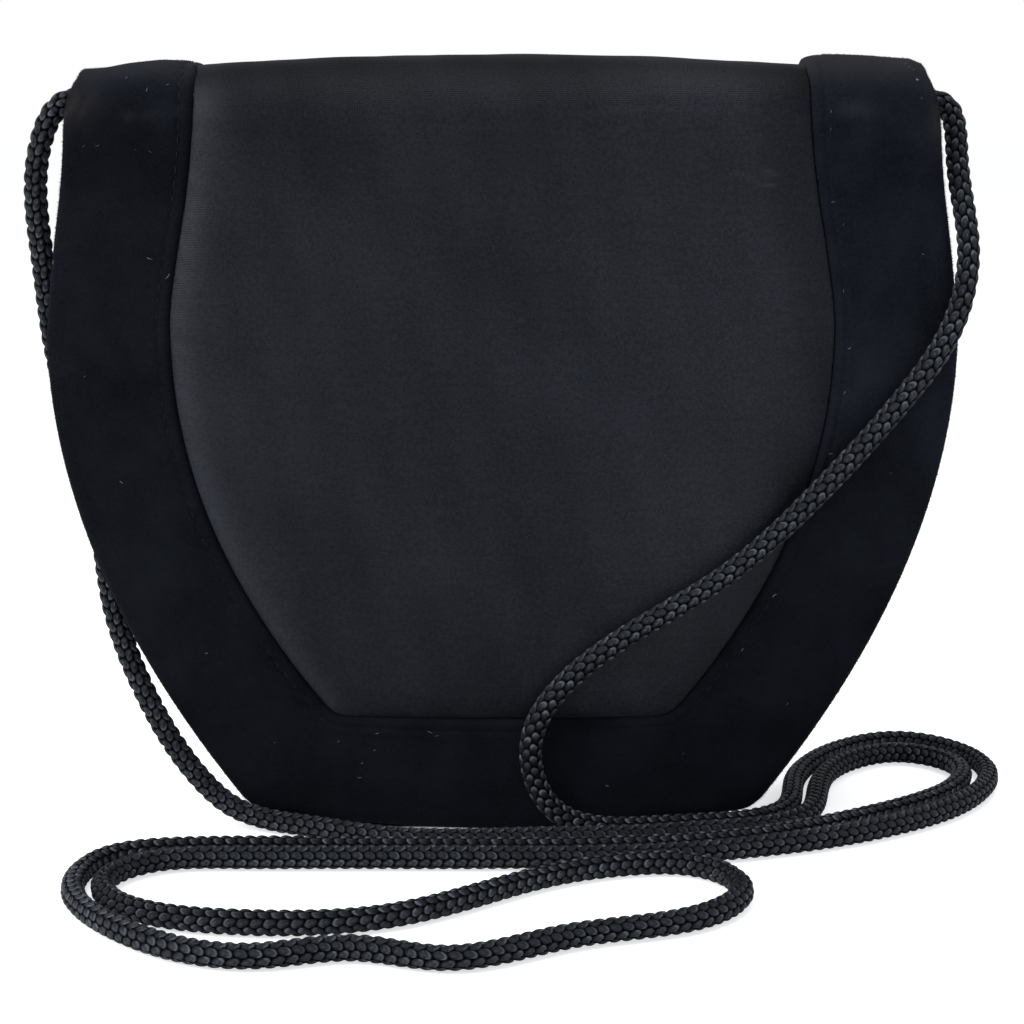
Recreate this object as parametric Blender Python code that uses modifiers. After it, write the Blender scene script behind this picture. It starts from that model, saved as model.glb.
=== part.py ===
"""Evening shoulder bag: a flat pouch with a full-length satin and velvet flap and a braided cord.

Metres, +Z up. The pouch stands on its gusset at z = 0, the flap faces -Y and +X is to the right.
The flap turns about the line where it is sewn to the top of the back panel.
"""

import math

import bmesh
import bpy
import numpy as np
from mathutils import Matrix, Vector

MM = 0.001

# Gap kept between pieces that touch on the real bag.
CLEARANCE = 0.3 * MM

# Flap outline seen from the front: widest at FLAP_WIDEST_Z, narrower by these amounts at floor and top.
FLAP_HALF_WIDTH = 94.4 * MM
FLAP_WIDEST_Z = 103.0 * MM
FLAP_NARROWER_BELOW = 43.1 * MM
FLAP_POWER_BELOW = 1.95
FLAP_NARROWER_ABOVE = 8.3 * MM
FLAP_POWER_ABOVE = 1.3
FLAP_TOP_Z = 160.5 * MM
FLAP_CORNER_Z = 2.8 * MM
FLAP_LIFT = 0.8 * MM

# Satin panel outline, on the same rule as the flap's.
SATIN_HALF_WIDTH = 67.8 * MM
SATIN_WIDEST_Z = 107.0 * MM
SATIN_NARROWER_BELOW = 59.0 * MM
SATIN_POWER_BELOW = 2.15
SATIN_NARROWER_ABOVE = 7.5 * MM
SATIN_POWER_ABOVE = 1.2
SATIN_BOTTOM_Z = 24.8 * MM

# Side profile of the flap's outer face.
FLAP_FOOT_Y = -22.0 * MM
FLAP_LEAN = 3.5 * MM
SHOULDER_RADIUS = 14.0 * MM
EDGE_BOW = 7.5 * MM
ROOF_DROOP = 1.0 * MM

# Layers of the flap.
FLAP_THICKNESS = 5.8 * MM
ROOF_THICKNESS = 3.4 * MM
FLAP_LINING_THICKNESS = 0.8 * MM
FLAP_BOARD_THICKNESS = 1.2 * MM
SATIN_THICKNESS = 0.9 * MM
SATIN_EDGE_DEPTH = 0.9 * MM
SATIN_PUFF = 2.5 * MM
SATIN_PUFF_REACH = 4.0 * MM
SATIN_ROOF_DEPTH = -0.2 * MM
SATIN_ROOF_SINK = 1.9 * MM
BOARD_BELOW_TOP = 26.5 * MM
BOARD_MARGIN = 4.0 * MM
FLAP_LINING_MARGIN = 1.5 * MM

# Pouch: its outline lies inside the flap's, and its depth runs from the front panel to the back panel.
POUCH_INSET = 6.6 * MM
POUCH_CORNER_REACH = 7.0 * MM
MOUTH_BELOW_TOP = 5.0 * MM
FADE_BELOW_MOUTH = 27.5 * MM
FRONT_BELOW_MOUTH = 5.5 * MM
BACK_FOOT_Y = 18.0 * MM
BACK_LEAN = 5.0 * MM
GUSSET_THICKNESS = 1.2 * MM
PANEL_THICKNESS = 1.0 * MM
PANEL_BOARD_THICKNESS = 1.2 * MM
LINING_THICKNESS = 0.8 * MM

# Magnetic snap between the flap's lining and the front panel.
SNAP_Z = 40.0 * MM
SNAP_RADIUS = 8.0 * MM
STUD_FLANGE = 0.9 * MM
STUD_BOSS_RADIUS = 2.8 * MM
STUD_BOSS = 1.2 * MM
SOCKET_HEIGHT = 1.4 * MM
SOCKET_RECESS_RADIUS = 3.9 * MM
SOCKET_RECESS = 1.2 * MM

# Eyelets that the cord leaves by, near the top of the gusset on each side.
EYELET_BELOW_MOUTH = 4.2 * MM
EYELET_Y = 1.5 * MM
EYELET_BARREL_WALL = 0.5 * MM
EYELET_FLANGE_RADIUS = 4.0 * MM
EYELET_FLANGE = 0.5 * MM

# Cord: braided, knotted inside the pouch at both ends.
CORD_RADIUS = 2.3 * MM
KNOT_RADIUS = 4.4 * MM
KNOT_LENGTH = 7.0 * MM
CORD_THROUGH = (-3.6 * MM, 0.0, 3.6 * MM)
CORD_TUBE_POINTS = 96
CORD_END_WEIGHT = 4.0
CORD_END_REACH = 12.0 * MM
CORD_BEND_WEIGHT = 30.0 * MM

# Size of the flap that the route below was chosen for. The route stretches with the flap.
ROUTE_HALF_WIDTH_MM = 94.4
ROUTE_TOP_MM = 160.5
ROUTE_FLOOR_MM = 2.4

# The cord's route in millimetres, chosen by hand: from the left eyelet down beside the flap,
# along the floor to the right-hand loop, back to the left-hand loop, out to the small loop in
# front, round both loops again and up across the flap to the right eyelet.
CORD_ROUTE_MM = (
    (-91.3, 0.8, 151.4),
    (-95.4, -1.0, 145.0),
    (-96.1, -3.0, 119.0),
    (-93.9, -3.0, 98.5),
    (-88.9, -3.0, 79.0),
    (-85.6, -3.4, 61.0),
    (-83.4, -5.0, 46.0),
    (-76.3, -11.0, 28.5),
    (-63.6, -15.0, 9.5),
    (-57.0, -17.2, 4.6),
    (-48.0, -20.2, 2.5),
    (-20.0, -31.4, 2.4),
    (-6.0, -32.2, 2.4),
    (12.0, -30.9, 2.4),
    (27.0, -29.7, 2.4),
    (41.0, -27.0, 2.4),
    (54.8, -23.7, 2.4),
    (63.1, -17.8, 2.4),
    (69.4, 1.5, 2.4),
    (80.0, 24.0, 2.4),
    (92.5, 30.3, 2.4),
    (102.6, 22.0, 2.4),
    (101.5, 7.0, 2.4),
    (82.0, -13.8, 2.4),
    (50.0, -31.6, 2.4),
    (0.0, -37.4, 2.4),
    (-58.0, -37.3, 2.4),
    (-78.9, -42.7, 2.4),
    (-83.2, -58.0, 2.4),
    (-72.2, -80.4, 2.4),
    (-43.0, -95.6, 2.4),
    (-26.6, -91.9, 2.4),
    (-11.0, -96.6, 2.4),
    (12.4, -86.2, 2.4),
    (37.5, -76.0, 2.4),
    (46.3, -60.5, 2.4),
    (38.0, -47.4, 2.4),
    (24.0, -47.3, 2.4),
    (10.0, -53.4, 2.4),
    (-22.0, -76.3, 2.4),
    (-48.0, -79.2, 2.4),
    (-74.0, -67.5, 2.4),
    (-77.3, -56.0, 2.4),
    (-70.0, -45.6, 2.4),
    (-54.0, -43.0, 2.4),
    (-10.0, -42.9, 2.4),
    (32.0, -41.1, 2.4),
    (56.0, -34.9, 2.4),
    (80.4, -23.5, 2.4),
    (105.0, 1.0, 2.4),
    (108.5, 25.0, 2.4),
    (94.1, 40.0, 2.4),
    (78.5, 32.0, 2.4),
    (64.5, 5.5, 2.4),
    (58.6, -14.6, 2.4),
    (52.4, -19.2, 2.4),
    (41.6, -21.9, 2.4),
    (24.5, -24.9, 2.5),
    (11.0, -24.8, 6.5),
    (5.9, -24.7, 20.0),
    (15.6, -25.1, 36.2),
    (45.0, -22.9, 55.3),
    (66.2, -19.2, 73.7),
    (83.1, -16.8, 92.6),
    (92.6, -15.5, 107.7),
    (95.3, -13.3, 121.0),
    (93.8, -5.6, 140.0),
    (91.3, 0.6, 151.4),
)

# What follows is worked out from the sizes above.
POUCH_TOP_Z = FLAP_TOP_Z - MOUTH_BELOW_TOP
POUCH_FADE_Z = POUCH_TOP_Z - FADE_BELOW_MOUTH
FRONT_TOP_Z = POUCH_TOP_Z - FRONT_BELOW_MOUTH
EYELET_Z = POUCH_TOP_Z - EYELET_BELOW_MOUTH
BOARD_TOP_Z = FLAP_TOP_Z - BOARD_BELOW_TOP
FLAP_EDGE_Z = POUCH_TOP_Z + 0.5 * MM
BACK_FOLD_RADIUS = FLAP_TOP_Z - FLAP_EDGE_Z - 0.2 * MM
HINGE_Z = (POUCH_TOP_Z + FLAP_EDGE_Z) / 2
BACK_TOP_Y = BACK_FOOT_Y - BACK_LEAN
HINGE_Y = BACK_TOP_Y + CLEARANCE
HINGE = Vector((0.0, HINGE_Y, HINGE_Z))
SHOULDER_Z = FLAP_TOP_Z - SHOULDER_RADIUS
SHOULDER_Y = FLAP_FOOT_Y + FLAP_LEAN
SNAP_GAP = STUD_FLANGE + SOCKET_HEIGHT + 3 * CLEARANCE
EYELET_HOLE_RADIUS = CORD_RADIUS + CLEARANCE
EYELET_BARREL_RADIUS = EYELET_HOLE_RADIUS + EYELET_BARREL_WALL


def clear_scene():
    for thing in list(bpy.data.objects):
        bpy.data.objects.remove(thing, do_unlink=True)


def new_collection(name):
    group = bpy.data.collections.new(name)
    bpy.context.scene.collection.children.link(group)
    return group


def new_material(name, colour, roughness, metallic=0.0):
    material = bpy.data.materials.new(name)
    material.use_nodes = True
    shader = material.node_tree.nodes["Principled BSDF"]
    shader.inputs["Base Color"].default_value = (*colour, 1.0)
    shader.inputs["Roughness"].default_value = roughness
    shader.inputs["Metallic"].default_value = metallic
    return material


def smoothstep(value, low, high):
    t = min(max((value - low) / (high - low), 0.0), 1.0)
    return t * t * (3 - 2 * t)


def outline_half_width(z, widest, widest_z, below, power_below, above, power_above):
    """Half-width at height z of an outline that bulges at widest_z and narrows both ways."""
    if z < widest_z:
        return widest - below * ((widest_z - z) / widest_z) ** power_below
    share = min((z - widest_z) / (FLAP_TOP_Z - widest_z), 1.0)
    return widest - above * share**power_above


def flap_half_width(z):
    return outline_half_width(
        z,
        FLAP_HALF_WIDTH,
        FLAP_WIDEST_Z,
        FLAP_NARROWER_BELOW,
        FLAP_POWER_BELOW,
        FLAP_NARROWER_ABOVE,
        FLAP_POWER_ABOVE,
    )


def satin_half_width(z):
    return outline_half_width(
        z,
        SATIN_HALF_WIDTH,
        SATIN_WIDEST_Z,
        SATIN_NARROWER_BELOW,
        SATIN_POWER_BELOW,
        SATIN_NARROWER_ABOVE,
        SATIN_POWER_ABOVE,
    )


def arc(centre_y, centre_z, radius, first_degrees, last_degrees, steps):
    angles = np.radians(np.linspace(first_degrees, last_degrees, steps))
    return np.stack(
        [centre_y + radius * np.cos(angles), centre_z + radius * np.sin(angles)], axis=1
    )


def flap_profile():
    """Side profile of the flap's outer face as (y, z) points, from the floor over the top to the hinge."""
    front = np.array([[FLAP_FOOT_Y, 0.0], [SHOULDER_Y, SHOULDER_Z]])
    shoulder = arc(SHOULDER_Y + SHOULDER_RADIUS, SHOULDER_Z, SHOULDER_RADIUS, 180, 90, 40)
    back_y = BACK_TOP_Y - BACK_FOLD_RADIUS
    back = arc(back_y, FLAP_TOP_Z - BACK_FOLD_RADIUS, BACK_FOLD_RADIUS, 90, 0, 24)
    end = np.array([[BACK_TOP_Y, FLAP_EDGE_Z]])
    return np.concatenate([front, shoulder[1:], back, end])


PROFILE = flap_profile()
PROFILE_LENGTH = np.concatenate([[0.0], np.cumsum(np.linalg.norm(np.diff(PROFILE, axis=0), axis=1))])
FLAP_END = float(PROFILE_LENGTH[-1])
SHOULDER_START = float(PROFILE_LENGTH[1])
SHOULDER_END = SHOULDER_START + SHOULDER_RADIUS * math.pi / 2
BACK_FOLD_START = FLAP_END - BACK_FOLD_RADIUS * math.pi / 2 - (
    FLAP_TOP_Z - BACK_FOLD_RADIUS - FLAP_EDGE_Z
)


def on_profile(reach):
    y = np.interp(reach, PROFILE_LENGTH, PROFILE[:, 0])
    z = np.interp(reach, PROFILE_LENGTH, PROFILE[:, 1])
    return np.array([y, z])


def bow(x, reach):
    """How far the front is bent back at x, most at its side edges and not at all over the top."""
    in_front = 1 - smoothstep(reach, SHOULDER_START - 16 * MM, SHOULDER_START + 12 * MM)
    return EDGE_BOW * (x / flap_half_width(reach)) ** 2 * in_front


def flap_point(x, reach, depth):
    """Point of the flap: x across, reach up its outer face from the floor, depth in from that face."""
    step = 0.5 * MM
    here = on_profile(reach)
    along = on_profile(min(reach + step, FLAP_END)) - on_profile(max(reach - step, 0.0))
    along /= np.linalg.norm(along)
    outward = np.array([-along[1], along[0]])
    y, z = here - outward * depth
    y += bow(x, reach)
    on_roof = smoothstep(reach, SHOULDER_START, SHOULDER_END) - smoothstep(reach, BACK_FOLD_START, FLAP_END)
    z -= ROOF_DROOP * (x / flap_half_width(reach)) ** 2 * on_roof
    return Vector((x, y, z))


def flap_depth(reach):
    """Thickness of the whole flap: thick where the board is, thin over the top."""
    thin = smoothstep(reach, BOARD_TOP_Z + 4 * MM, SHOULDER_START + 4 * MM)
    return FLAP_THICKNESS + (ROOF_THICKNESS - FLAP_THICKNESS) * thin


def velvet_depth(reach):
    """How deep the velvet reaches: to the board in front, to the lining over the top."""
    thin = smoothstep(reach, BOARD_TOP_Z + 4 * MM, SHOULDER_START + 4 * MM)
    board = (FLAP_BOARD_THICKNESS + CLEARANCE) * (1 - thin)
    return flap_depth(reach) - FLAP_LINING_THICKNESS - CLEARANCE - board


def satin_depth(x, reach):
    """Depth of the satin's face: lifted over the velvet by its padding in front, and over the top
    level with the velvet in the middle and sunk between the straps at its edges."""
    inside = min(satin_half_width(reach) - abs(x), reach - SATIN_BOTTOM_Z)
    rise = 1 - math.exp(-max(inside, 0.0) / SATIN_PUFF_REACH)
    in_front = SATIN_EDGE_DEPTH - SATIN_PUFF * rise
    over_top = SATIN_ROOF_DEPTH + SATIN_ROOF_SINK * (x / SATIN_HALF_WIDTH) ** 2
    share = smoothstep(reach, SHOULDER_START, SHOULDER_END)
    return in_front + (over_top - in_front) * share


def rows_from(bottom):
    """Stations up the flap, close together at its bottom edge and round both folds."""
    start = bottom + 10 * MM
    return np.concatenate(
        [
            bottom + np.array([0.0, 1.7, 5.0]) * MM,
            np.linspace(start, BOARD_TOP_Z, 11),
            np.linspace(BOARD_TOP_Z, SHOULDER_START, 4)[1:],
            np.linspace(SHOULDER_START, SHOULDER_END, 7)[1:],
            np.linspace(SHOULDER_END, BACK_FOLD_START, 3)[1:],
            np.linspace(BACK_FOLD_START, FLAP_END, 5)[1:],
        ]
    )


def station(rows, v):
    """Reading of a list of stations at v, which runs from -1 at the first to 1 at the last."""
    return float(np.interp(v, np.linspace(-1, 1, len(rows)), rows))


def toward_edges(u):
    """Moves evenly spaced columns closer together near both edges."""
    return math.sin(u * math.pi / 2)


def finish_object(name, mesh, material, group, parent=None):
    part = bpy.data.objects.new(name, mesh)
    part.data.materials.append(material)
    part.data.shade_smooth()
    part.data.set_sharp_from_angle(angle=math.radians(35))
    part.parent = parent
    group.objects.link(part)
    return part


def bent_slab(columns, rows, place, origin=Vector()):
    """A flat slab of columns by rows, bent by place(u, v, w): u and v from -1 to 1, w is 0 or 1."""
    mesh = bpy.data.meshes.new("slab")
    bm = bmesh.new()
    bmesh.ops.create_grid(bm, x_segments=columns, y_segments=rows, size=1.0)
    raised = bmesh.ops.extrude_face_region(bm, geom=bm.faces[:])
    for element in raised["geom"]:
        if isinstance(element, bmesh.types.BMVert):
            element.co.z = 1.0
    for vertex in bm.verts:
        vertex.co = Vector(place(*vertex.co)) - origin
    bmesh.ops.recalc_face_normals(bm, faces=bm.faces[:])
    bm.to_mesh(mesh)
    bm.free()
    return mesh


def turned(name, profile, closed, steps, material, group, place, parent=None):
    """A profile of (radius, height) points turned about the Z axis of the matrix place."""
    mesh = bpy.data.meshes.new(name)
    points = [(radius, 0.0, height) for radius, height in profile]
    edges = [(i, i + 1) for i in range(len(points) - 1)]
    if closed:
        edges.append((len(points) - 1, 0))
    mesh.from_pydata(points, edges, [])
    part = finish_object(name, mesh, material, group, parent)
    part.matrix_local = place
    screw = part.modifiers.new("turn", "SCREW")
    screw.axis = "Z"
    screw.steps = steps
    screw.render_steps = steps
    screw.use_merge_vertices = True
    screw.merge_threshold = 0.00001
    screw.use_smooth_shade = True
    return part


def velvet_rim(share, rows):
    """Outer and inner edge of the velvet's U at share, from -1 at the left end to 1 at the right end.

    The middle stretch runs along the bottom, between the corners, and each outer stretch up a side.
    """
    side = 1.0 if share >= 0 else -1.0
    share = abs(share)
    if share <= VELVET_BOTTOM_SHARE:
        t = share / VELVET_BOTTOM_SHARE
        corner = flap_half_width(FLAP_CORNER_Z)
        lift = FLAP_LIFT + (FLAP_CORNER_Z - FLAP_LIFT) * t**2
        inner_corner = satin_half_width(SATIN_BOTTOM_Z) + CLEARANCE / 2
        outer = (side * corner * t, lift)
        inner = (side * inner_corner * t, SATIN_BOTTOM_Z - CLEARANCE / 2)
        return outer, inner
    v = 2 * (share - VELVET_BOTTOM_SHARE) / (1 - VELVET_BOTTOM_SHARE) - 1
    low = station(rows[0], v)
    high = station(rows[1], v)
    outer = (side * flap_half_width(low), low)
    inner = (side * (satin_half_width(high) + CLEARANCE / 2), high)
    return outer, inner


VELVET_SIDE_STEPS = len(rows_from(FLAP_CORNER_Z)) - 1
VELVET_BOTTOM_STEPS = 7
VELVET_BOTTOM_SHARE = VELVET_BOTTOM_STEPS / (VELVET_BOTTOM_STEPS + VELVET_SIDE_STEPS)


def make_velvet_border(group, hinge):
    """U of padded velvet round the satin, whose two arms run over the top as straps."""
    rows = (rows_from(FLAP_CORNER_Z), rows_from(SATIN_BOTTOM_Z - CLEARANCE / 2))

    def place(u, v, w):
        outer, inner = velvet_rim(u, rows)
        t = (v + 1) / 2
        x = outer[0] + (inner[0] - outer[0]) * t
        reach = outer[1] + (inner[1] - outer[1]) * t
        return flap_point(x, reach, velvet_depth(reach) * w)

    steps = 2 * (VELVET_BOTTOM_STEPS + VELVET_SIDE_STEPS)
    mesh = bent_slab(steps, 3, place, HINGE)
    velvet = new_material("black_velvet", (0.006, 0.007, 0.010), 0.95)
    finish_object("velvet_border", mesh, velvet, group, hinge)


def make_satin_panel(group, hinge):
    """Satin centre of the flap, lifted by its padding, which runs over the top between the straps."""
    rows = rows_from(SATIN_BOTTOM_Z)

    def place(u, v, w):
        reach = station(rows, v)
        x = toward_edges(u) * (satin_half_width(reach) - CLEARANCE / 2)
        return flap_point(x, reach, satin_depth(x, reach) + SATIN_THICKNESS * w)

    mesh = bent_slab(16, len(rows) - 1, place, HINGE)
    satin = new_material("black_satin", (0.017, 0.018, 0.024), 0.45)
    finish_object("satin_panel", mesh, satin, group, hinge)


def make_flap_wadding(group, hinge):
    """Wadding between the satin and the board."""
    rows = rows_from(SATIN_BOTTOM_Z + 1.0 * MM)
    rows = rows[rows <= SHOULDER_START]

    def place(u, v, w):
        reach = station(rows, v)
        x = toward_edges(u) * (satin_half_width(reach) - 1.0 * MM)
        top = satin_depth(x, reach) + SATIN_THICKNESS + 2 * CLEARANCE
        return flap_point(x, reach, top if w < 0.5 else velvet_depth(reach))

    mesh = bent_slab(16, len(rows) - 1, place, HINGE)
    wadding = new_material("white_wadding", (0.62, 0.61, 0.58), 0.95)
    finish_object("flap_wadding", mesh, wadding, group, hinge)


def make_flap_board(group, hinge):
    """Card that keeps the flap's front flat."""
    rows = np.linspace(FLAP_CORNER_Z + BOARD_MARGIN, BOARD_TOP_Z, 12)

    def place(u, v, w):
        reach = station(rows, v)
        depth = flap_depth(reach) - FLAP_LINING_THICKNESS - CLEARANCE
        x = u * (flap_half_width(reach) - BOARD_MARGIN)
        return flap_point(x, reach, depth - FLAP_BOARD_THICKNESS * (1 - w))

    mesh = bent_slab(12, len(rows) - 1, place, HINGE)
    card = new_material("grey_card", (0.30, 0.28, 0.25), 0.9)
    finish_object("flap_board", mesh, card, group, hinge)


def make_flap_lining(group, hinge):
    """Satin lining felled to the back of the flap."""
    rows = rows_from(FLAP_CORNER_Z + FLAP_LINING_MARGIN)

    def place(u, v, w):
        reach = station(rows, v)
        x = u * (flap_half_width(reach) - FLAP_LINING_MARGIN)
        return flap_point(x, reach, flap_depth(reach) - FLAP_LINING_THICKNESS * (1 - w))

    mesh = bent_slab(12, len(rows) - 1, place, HINGE)
    lining = new_material("black_lining", (0.014, 0.014, 0.017), 0.5)
    finish_object("flap_lining", mesh, lining, group, hinge)


def front_y(x, z):
    """Outer face of the pouch's front panel, parallel to the flap and the snap's height behind it."""
    lean = FLAP_LEAN * z / SHOULDER_Z
    return FLAP_FOOT_Y + FLAP_THICKNESS + SNAP_GAP + lean + bow(x, z)


def back_y(x, z):
    """Outer face of the pouch's back panel, which is flat."""
    return BACK_FOOT_Y - BACK_LEAN * z / POUCH_TOP_Z


def top_z(x, y):
    """Height of the pouch's mouth: low at the front panel and full height behind it."""
    front = front_y(x, FRONT_TOP_Z)
    return FRONT_TOP_Z + (POUCH_TOP_Z - FRONT_TOP_Z) * smoothstep(y, front, front + 6 * MM)


def pouch_outline(inset):
    """Right half of the pouch's outline as (x, z) points from the bottom's middle, moved in by inset."""

    def side(z):
        return flap_half_width(z) - POUCH_INSET

    corner = np.array([side(0.0), 0.0])
    start = corner - np.array([POUCH_CORNER_REACH, 0.0])
    end_z = 0.8 * POUCH_CORNER_REACH
    end = np.array([side(end_z), end_z])
    t = np.linspace(0, 1, 7)[:, None]
    bend = (1 - t) ** 2 * start + 2 * t * (1 - t) * corner + t**2 * end
    up = np.array([[side(z), z] for z in np.linspace(end_z, POUCH_TOP_Z + 4 * MM, 40)[1:]])
    points = np.concatenate([[[0.0, 0.0]], bend, up])
    along = np.gradient(points, axis=0)
    along /= np.linalg.norm(along, axis=1)[:, None]
    inward = np.stack([-along[:, 1], along[:, 0]], axis=1)
    return points + inward * inset


def pouch_half_width(z, inset):
    outline = pouch_outline(inset)[1:]
    return float(np.interp(z, outline[:, 1], outline[:, 0]))


def pouch_rows(low, top):
    """Heights up the pouch, close together round its bottom corner and where the bow fades."""
    return np.concatenate(
        [
            np.linspace(low, low + 9 * MM, 4),
            np.linspace(low + 9 * MM, POUCH_FADE_Z, 9)[1:],
            np.linspace(POUCH_FADE_Z, top, 7)[1:],
        ]
    )


def pouch_plate(near, far, inset, top):
    """Plate across the pouch between near(x, z) and far(x, z), cut to the outline moved in by inset."""
    outline = pouch_outline(inset)[1:]
    heights = pouch_rows(float(outline[0, 1]), top)

    def place(u, v, w):
        z = station(heights, v)
        x = u * float(np.interp(z, outline[:, 1], outline[:, 0]))
        face = near if w < 0.5 else far
        return Vector((x, face(x, z), z))

    return bent_slab(12, len(heights) - 1, place)


def make_panels(group):
    """Outer cloth of the pouch's front and back, each with a card behind it."""
    cover = new_material("black_satin_back", (0.015, 0.016, 0.020), 0.5)
    card = new_material("panel_card", (0.30, 0.28, 0.25), 0.9)
    board_in = PANEL_THICKNESS + CLEARANCE
    board_inset = GUSSET_THICKNESS + CLEARANCE
    plates = (
        ("front_panel", front_y, 1, FRONT_TOP_Z, "front_board"),
        ("back_panel", back_y, -1, POUCH_TOP_Z, "back_board"),
    )
    for name, face, inward, top, board_name in plates:

        def at(depth, face=face, inward=inward):
            return lambda x, z: face(x, z) + inward * depth

        mesh = pouch_plate(at(0.0), at(PANEL_THICKNESS), 0.0, top)
        finish_object(name, mesh, cover, group)
        near = at(board_in)
        far = at(board_in + PANEL_BOARD_THICKNESS)
        mesh = pouch_plate(near, far, board_inset, top - 3 * MM)
        finish_object(board_name, mesh, card, group)


def eyelet_frame(side):
    """Matrix at the eyelet's middle whose Z axis points out of the gusset, square to it."""
    step = 1.0 * MM
    slope = (flap_half_width(EYELET_Z + step) - flap_half_width(EYELET_Z - step)) / (2 * step)
    outward = Vector((side, 0.0, -slope)).normalized()
    depth = (GUSSET_THICKNESS + CLEARANCE + LINING_THICKNESS) / 2
    wall = Vector((side * (flap_half_width(EYELET_Z) - POUCH_INSET), EYELET_Y, EYELET_Z))
    turn = outward.to_track_quat("Z", "Y").to_matrix().to_4x4()
    return Matrix.Translation(wall - outward * depth) @ turn


def make_cutters(group):
    """Cylinders that open the gusset and the lining for the eyelets."""
    cutters = []
    for side, name in ((-1, "left"), (1, "right")):
        mesh = bpy.data.meshes.new("eyelet_hole_" + name)
        bm = bmesh.new()
        radius = EYELET_BARREL_RADIUS + CLEARANCE
        bmesh.ops.create_cone(
            bm, cap_ends=True, segments=20, radius1=radius, radius2=radius, depth=14 * MM
        )
        bm.to_mesh(mesh)
        bm.free()
        cutter = bpy.data.objects.new("eyelet_hole_" + name, mesh)
        cutter.matrix_world = eyelet_frame(side)
        cutter.hide_render = True
        cutter.display_type = "WIRE"
        group.objects.link(cutter)
        cutters.append(cutter)
    return cutters


def cut_holes(part, cutters):
    for cutter in cutters:
        hole = part.modifiers.new(cutter.name, "BOOLEAN")
        hole.operation = "DIFFERENCE"
        hole.solver = "EXACT"
        hole.object = cutter


def across(x, z, v, cover):
    """Depth in the pouch at v, from -1 near the front panel to 1 near the back, cover inside both."""
    near = front_y(x, z) + cover
    far = back_y(x, z) - cover
    return near + (far - near) * (v + 1) / 2


def mouth_y(x, v, cover):
    """The same depth at the mouth, where the front panel ends lower than the back panel."""
    near = front_y(x, FRONT_TOP_Z) + cover
    far = back_y(x, POUCH_TOP_Z) - cover
    return near + (far - near) * (v + 1) / 2


def make_gusset(group, cutters):
    """Band that joins front and back panel from one end of the mouth, under the bottom, to the other."""
    edge = PANEL_THICKNESS + CLEARANCE
    outer = pouch_outline(0.0)
    inner = pouch_outline(GUSSET_THICKNESS)
    length = np.concatenate([[0.0], np.cumsum(np.linalg.norm(np.diff(outer, axis=0), axis=1))])
    fade = length[-1] - (POUCH_TOP_Z - POUCH_FADE_Z)
    sides = [np.linspace(length[8], fade, 12), np.linspace(fade, length[-1], 8)[1:]]
    stations = np.concatenate([[0.0, length[1] / 2], length[1:8], *sides])

    def place(u, v, w):
        reach = station(stations, 2 * abs(u) - 1)
        rim = outer if w < 0.5 else inner
        x = float(np.interp(reach, length, rim[:, 0]))
        z = float(np.interp(reach, length, rim[:, 1]))
        if reach > length[8]:
            mouth = mouth_y(x, v, edge)
            share = (reach - length[8]) / (length[-1] - length[8])
            z = rim[8, 1] + (top_z(x, mouth) - rim[8, 1]) * share
            x = float(np.interp(z, rim[1:, 1], rim[1:, 0]))
        return Vector((math.copysign(x, u), across(x, z, v, edge), z))

    mesh = bent_slab(2 * (len(stations) - 1), 4, place)
    cloth = new_material("black_gusset_satin", (0.015, 0.016, 0.020), 0.5)
    gusset = finish_object("gusset", mesh, cloth, group)
    cut_holes(gusset, cutters)


def make_lining(group, cutters):
    """Sewn lining bag that fills the pouch, open at the mouth."""
    inset = GUSSET_THICKNESS + CLEARANCE
    cover = PANEL_THICKNESS + PANEL_BOARD_THICKNESS + 2 * CLEARANCE
    bottom = inset
    half_plan = (-1, -0.8, -0.6, -0.3, 0, 0.3, 0.6, 0.8, 1, 1, 1, 1)
    plan_u = half_plan + tuple(-value for value in half_plan) + half_plan[:1]
    plan_v = (-1,) * 9 + (-0.5, 0, 0.5) + (1,) * 9 + (0.5, 0, -0.5, -1)
    around = len(plan_u) - 1
    heights = pouch_rows(bottom, POUCH_TOP_Z - 0.6 * MM)
    up = len(heights) - 1

    mesh = bpy.data.meshes.new("lining")
    bm = bmesh.new()
    bmesh.ops.create_grid(bm, x_segments=around, y_segments=up, size=1.0)
    for vertex in bm.verts:
        u = station(plan_u, vertex.co.x)
        v = station(plan_v, vertex.co.x)
        share = (station(heights, vertex.co.y) - bottom) / (heights[-1] - bottom)
        mouth = mouth_y(u * pouch_half_width(POUCH_TOP_Z, inset), v, cover)
        top = top_z(u * pouch_half_width(POUCH_TOP_Z, inset), mouth) - 0.6 * MM
        z = bottom + (top - bottom) * share
        x = u * pouch_half_width(z, inset)
        vertex.co = Vector((x, across(x, z, v, cover), z))
    bmesh.ops.remove_doubles(bm, verts=bm.verts[:], dist=0.01 * MM)
    floor_edges = [
        e for e in bm.edges if e.is_boundary and max(v.co.z for v in e.verts) < bottom + 0.1 * MM
    ]
    bmesh.ops.contextual_create(bm, geom=floor_edges)
    bmesh.ops.recalc_face_normals(bm, faces=bm.faces[:])
    bm.to_mesh(mesh)
    bm.free()
    cloth = new_material("pouch_lining_cloth", (0.014, 0.014, 0.017), 0.5)
    lining = finish_object("lining", mesh, cloth, group)
    wall = lining.modifiers.new("wall", "SOLIDIFY")
    wall.thickness = LINING_THICKNESS
    wall.offset = -1.0
    wall.use_even_offset = True
    cut_holes(lining, cutters)


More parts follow.
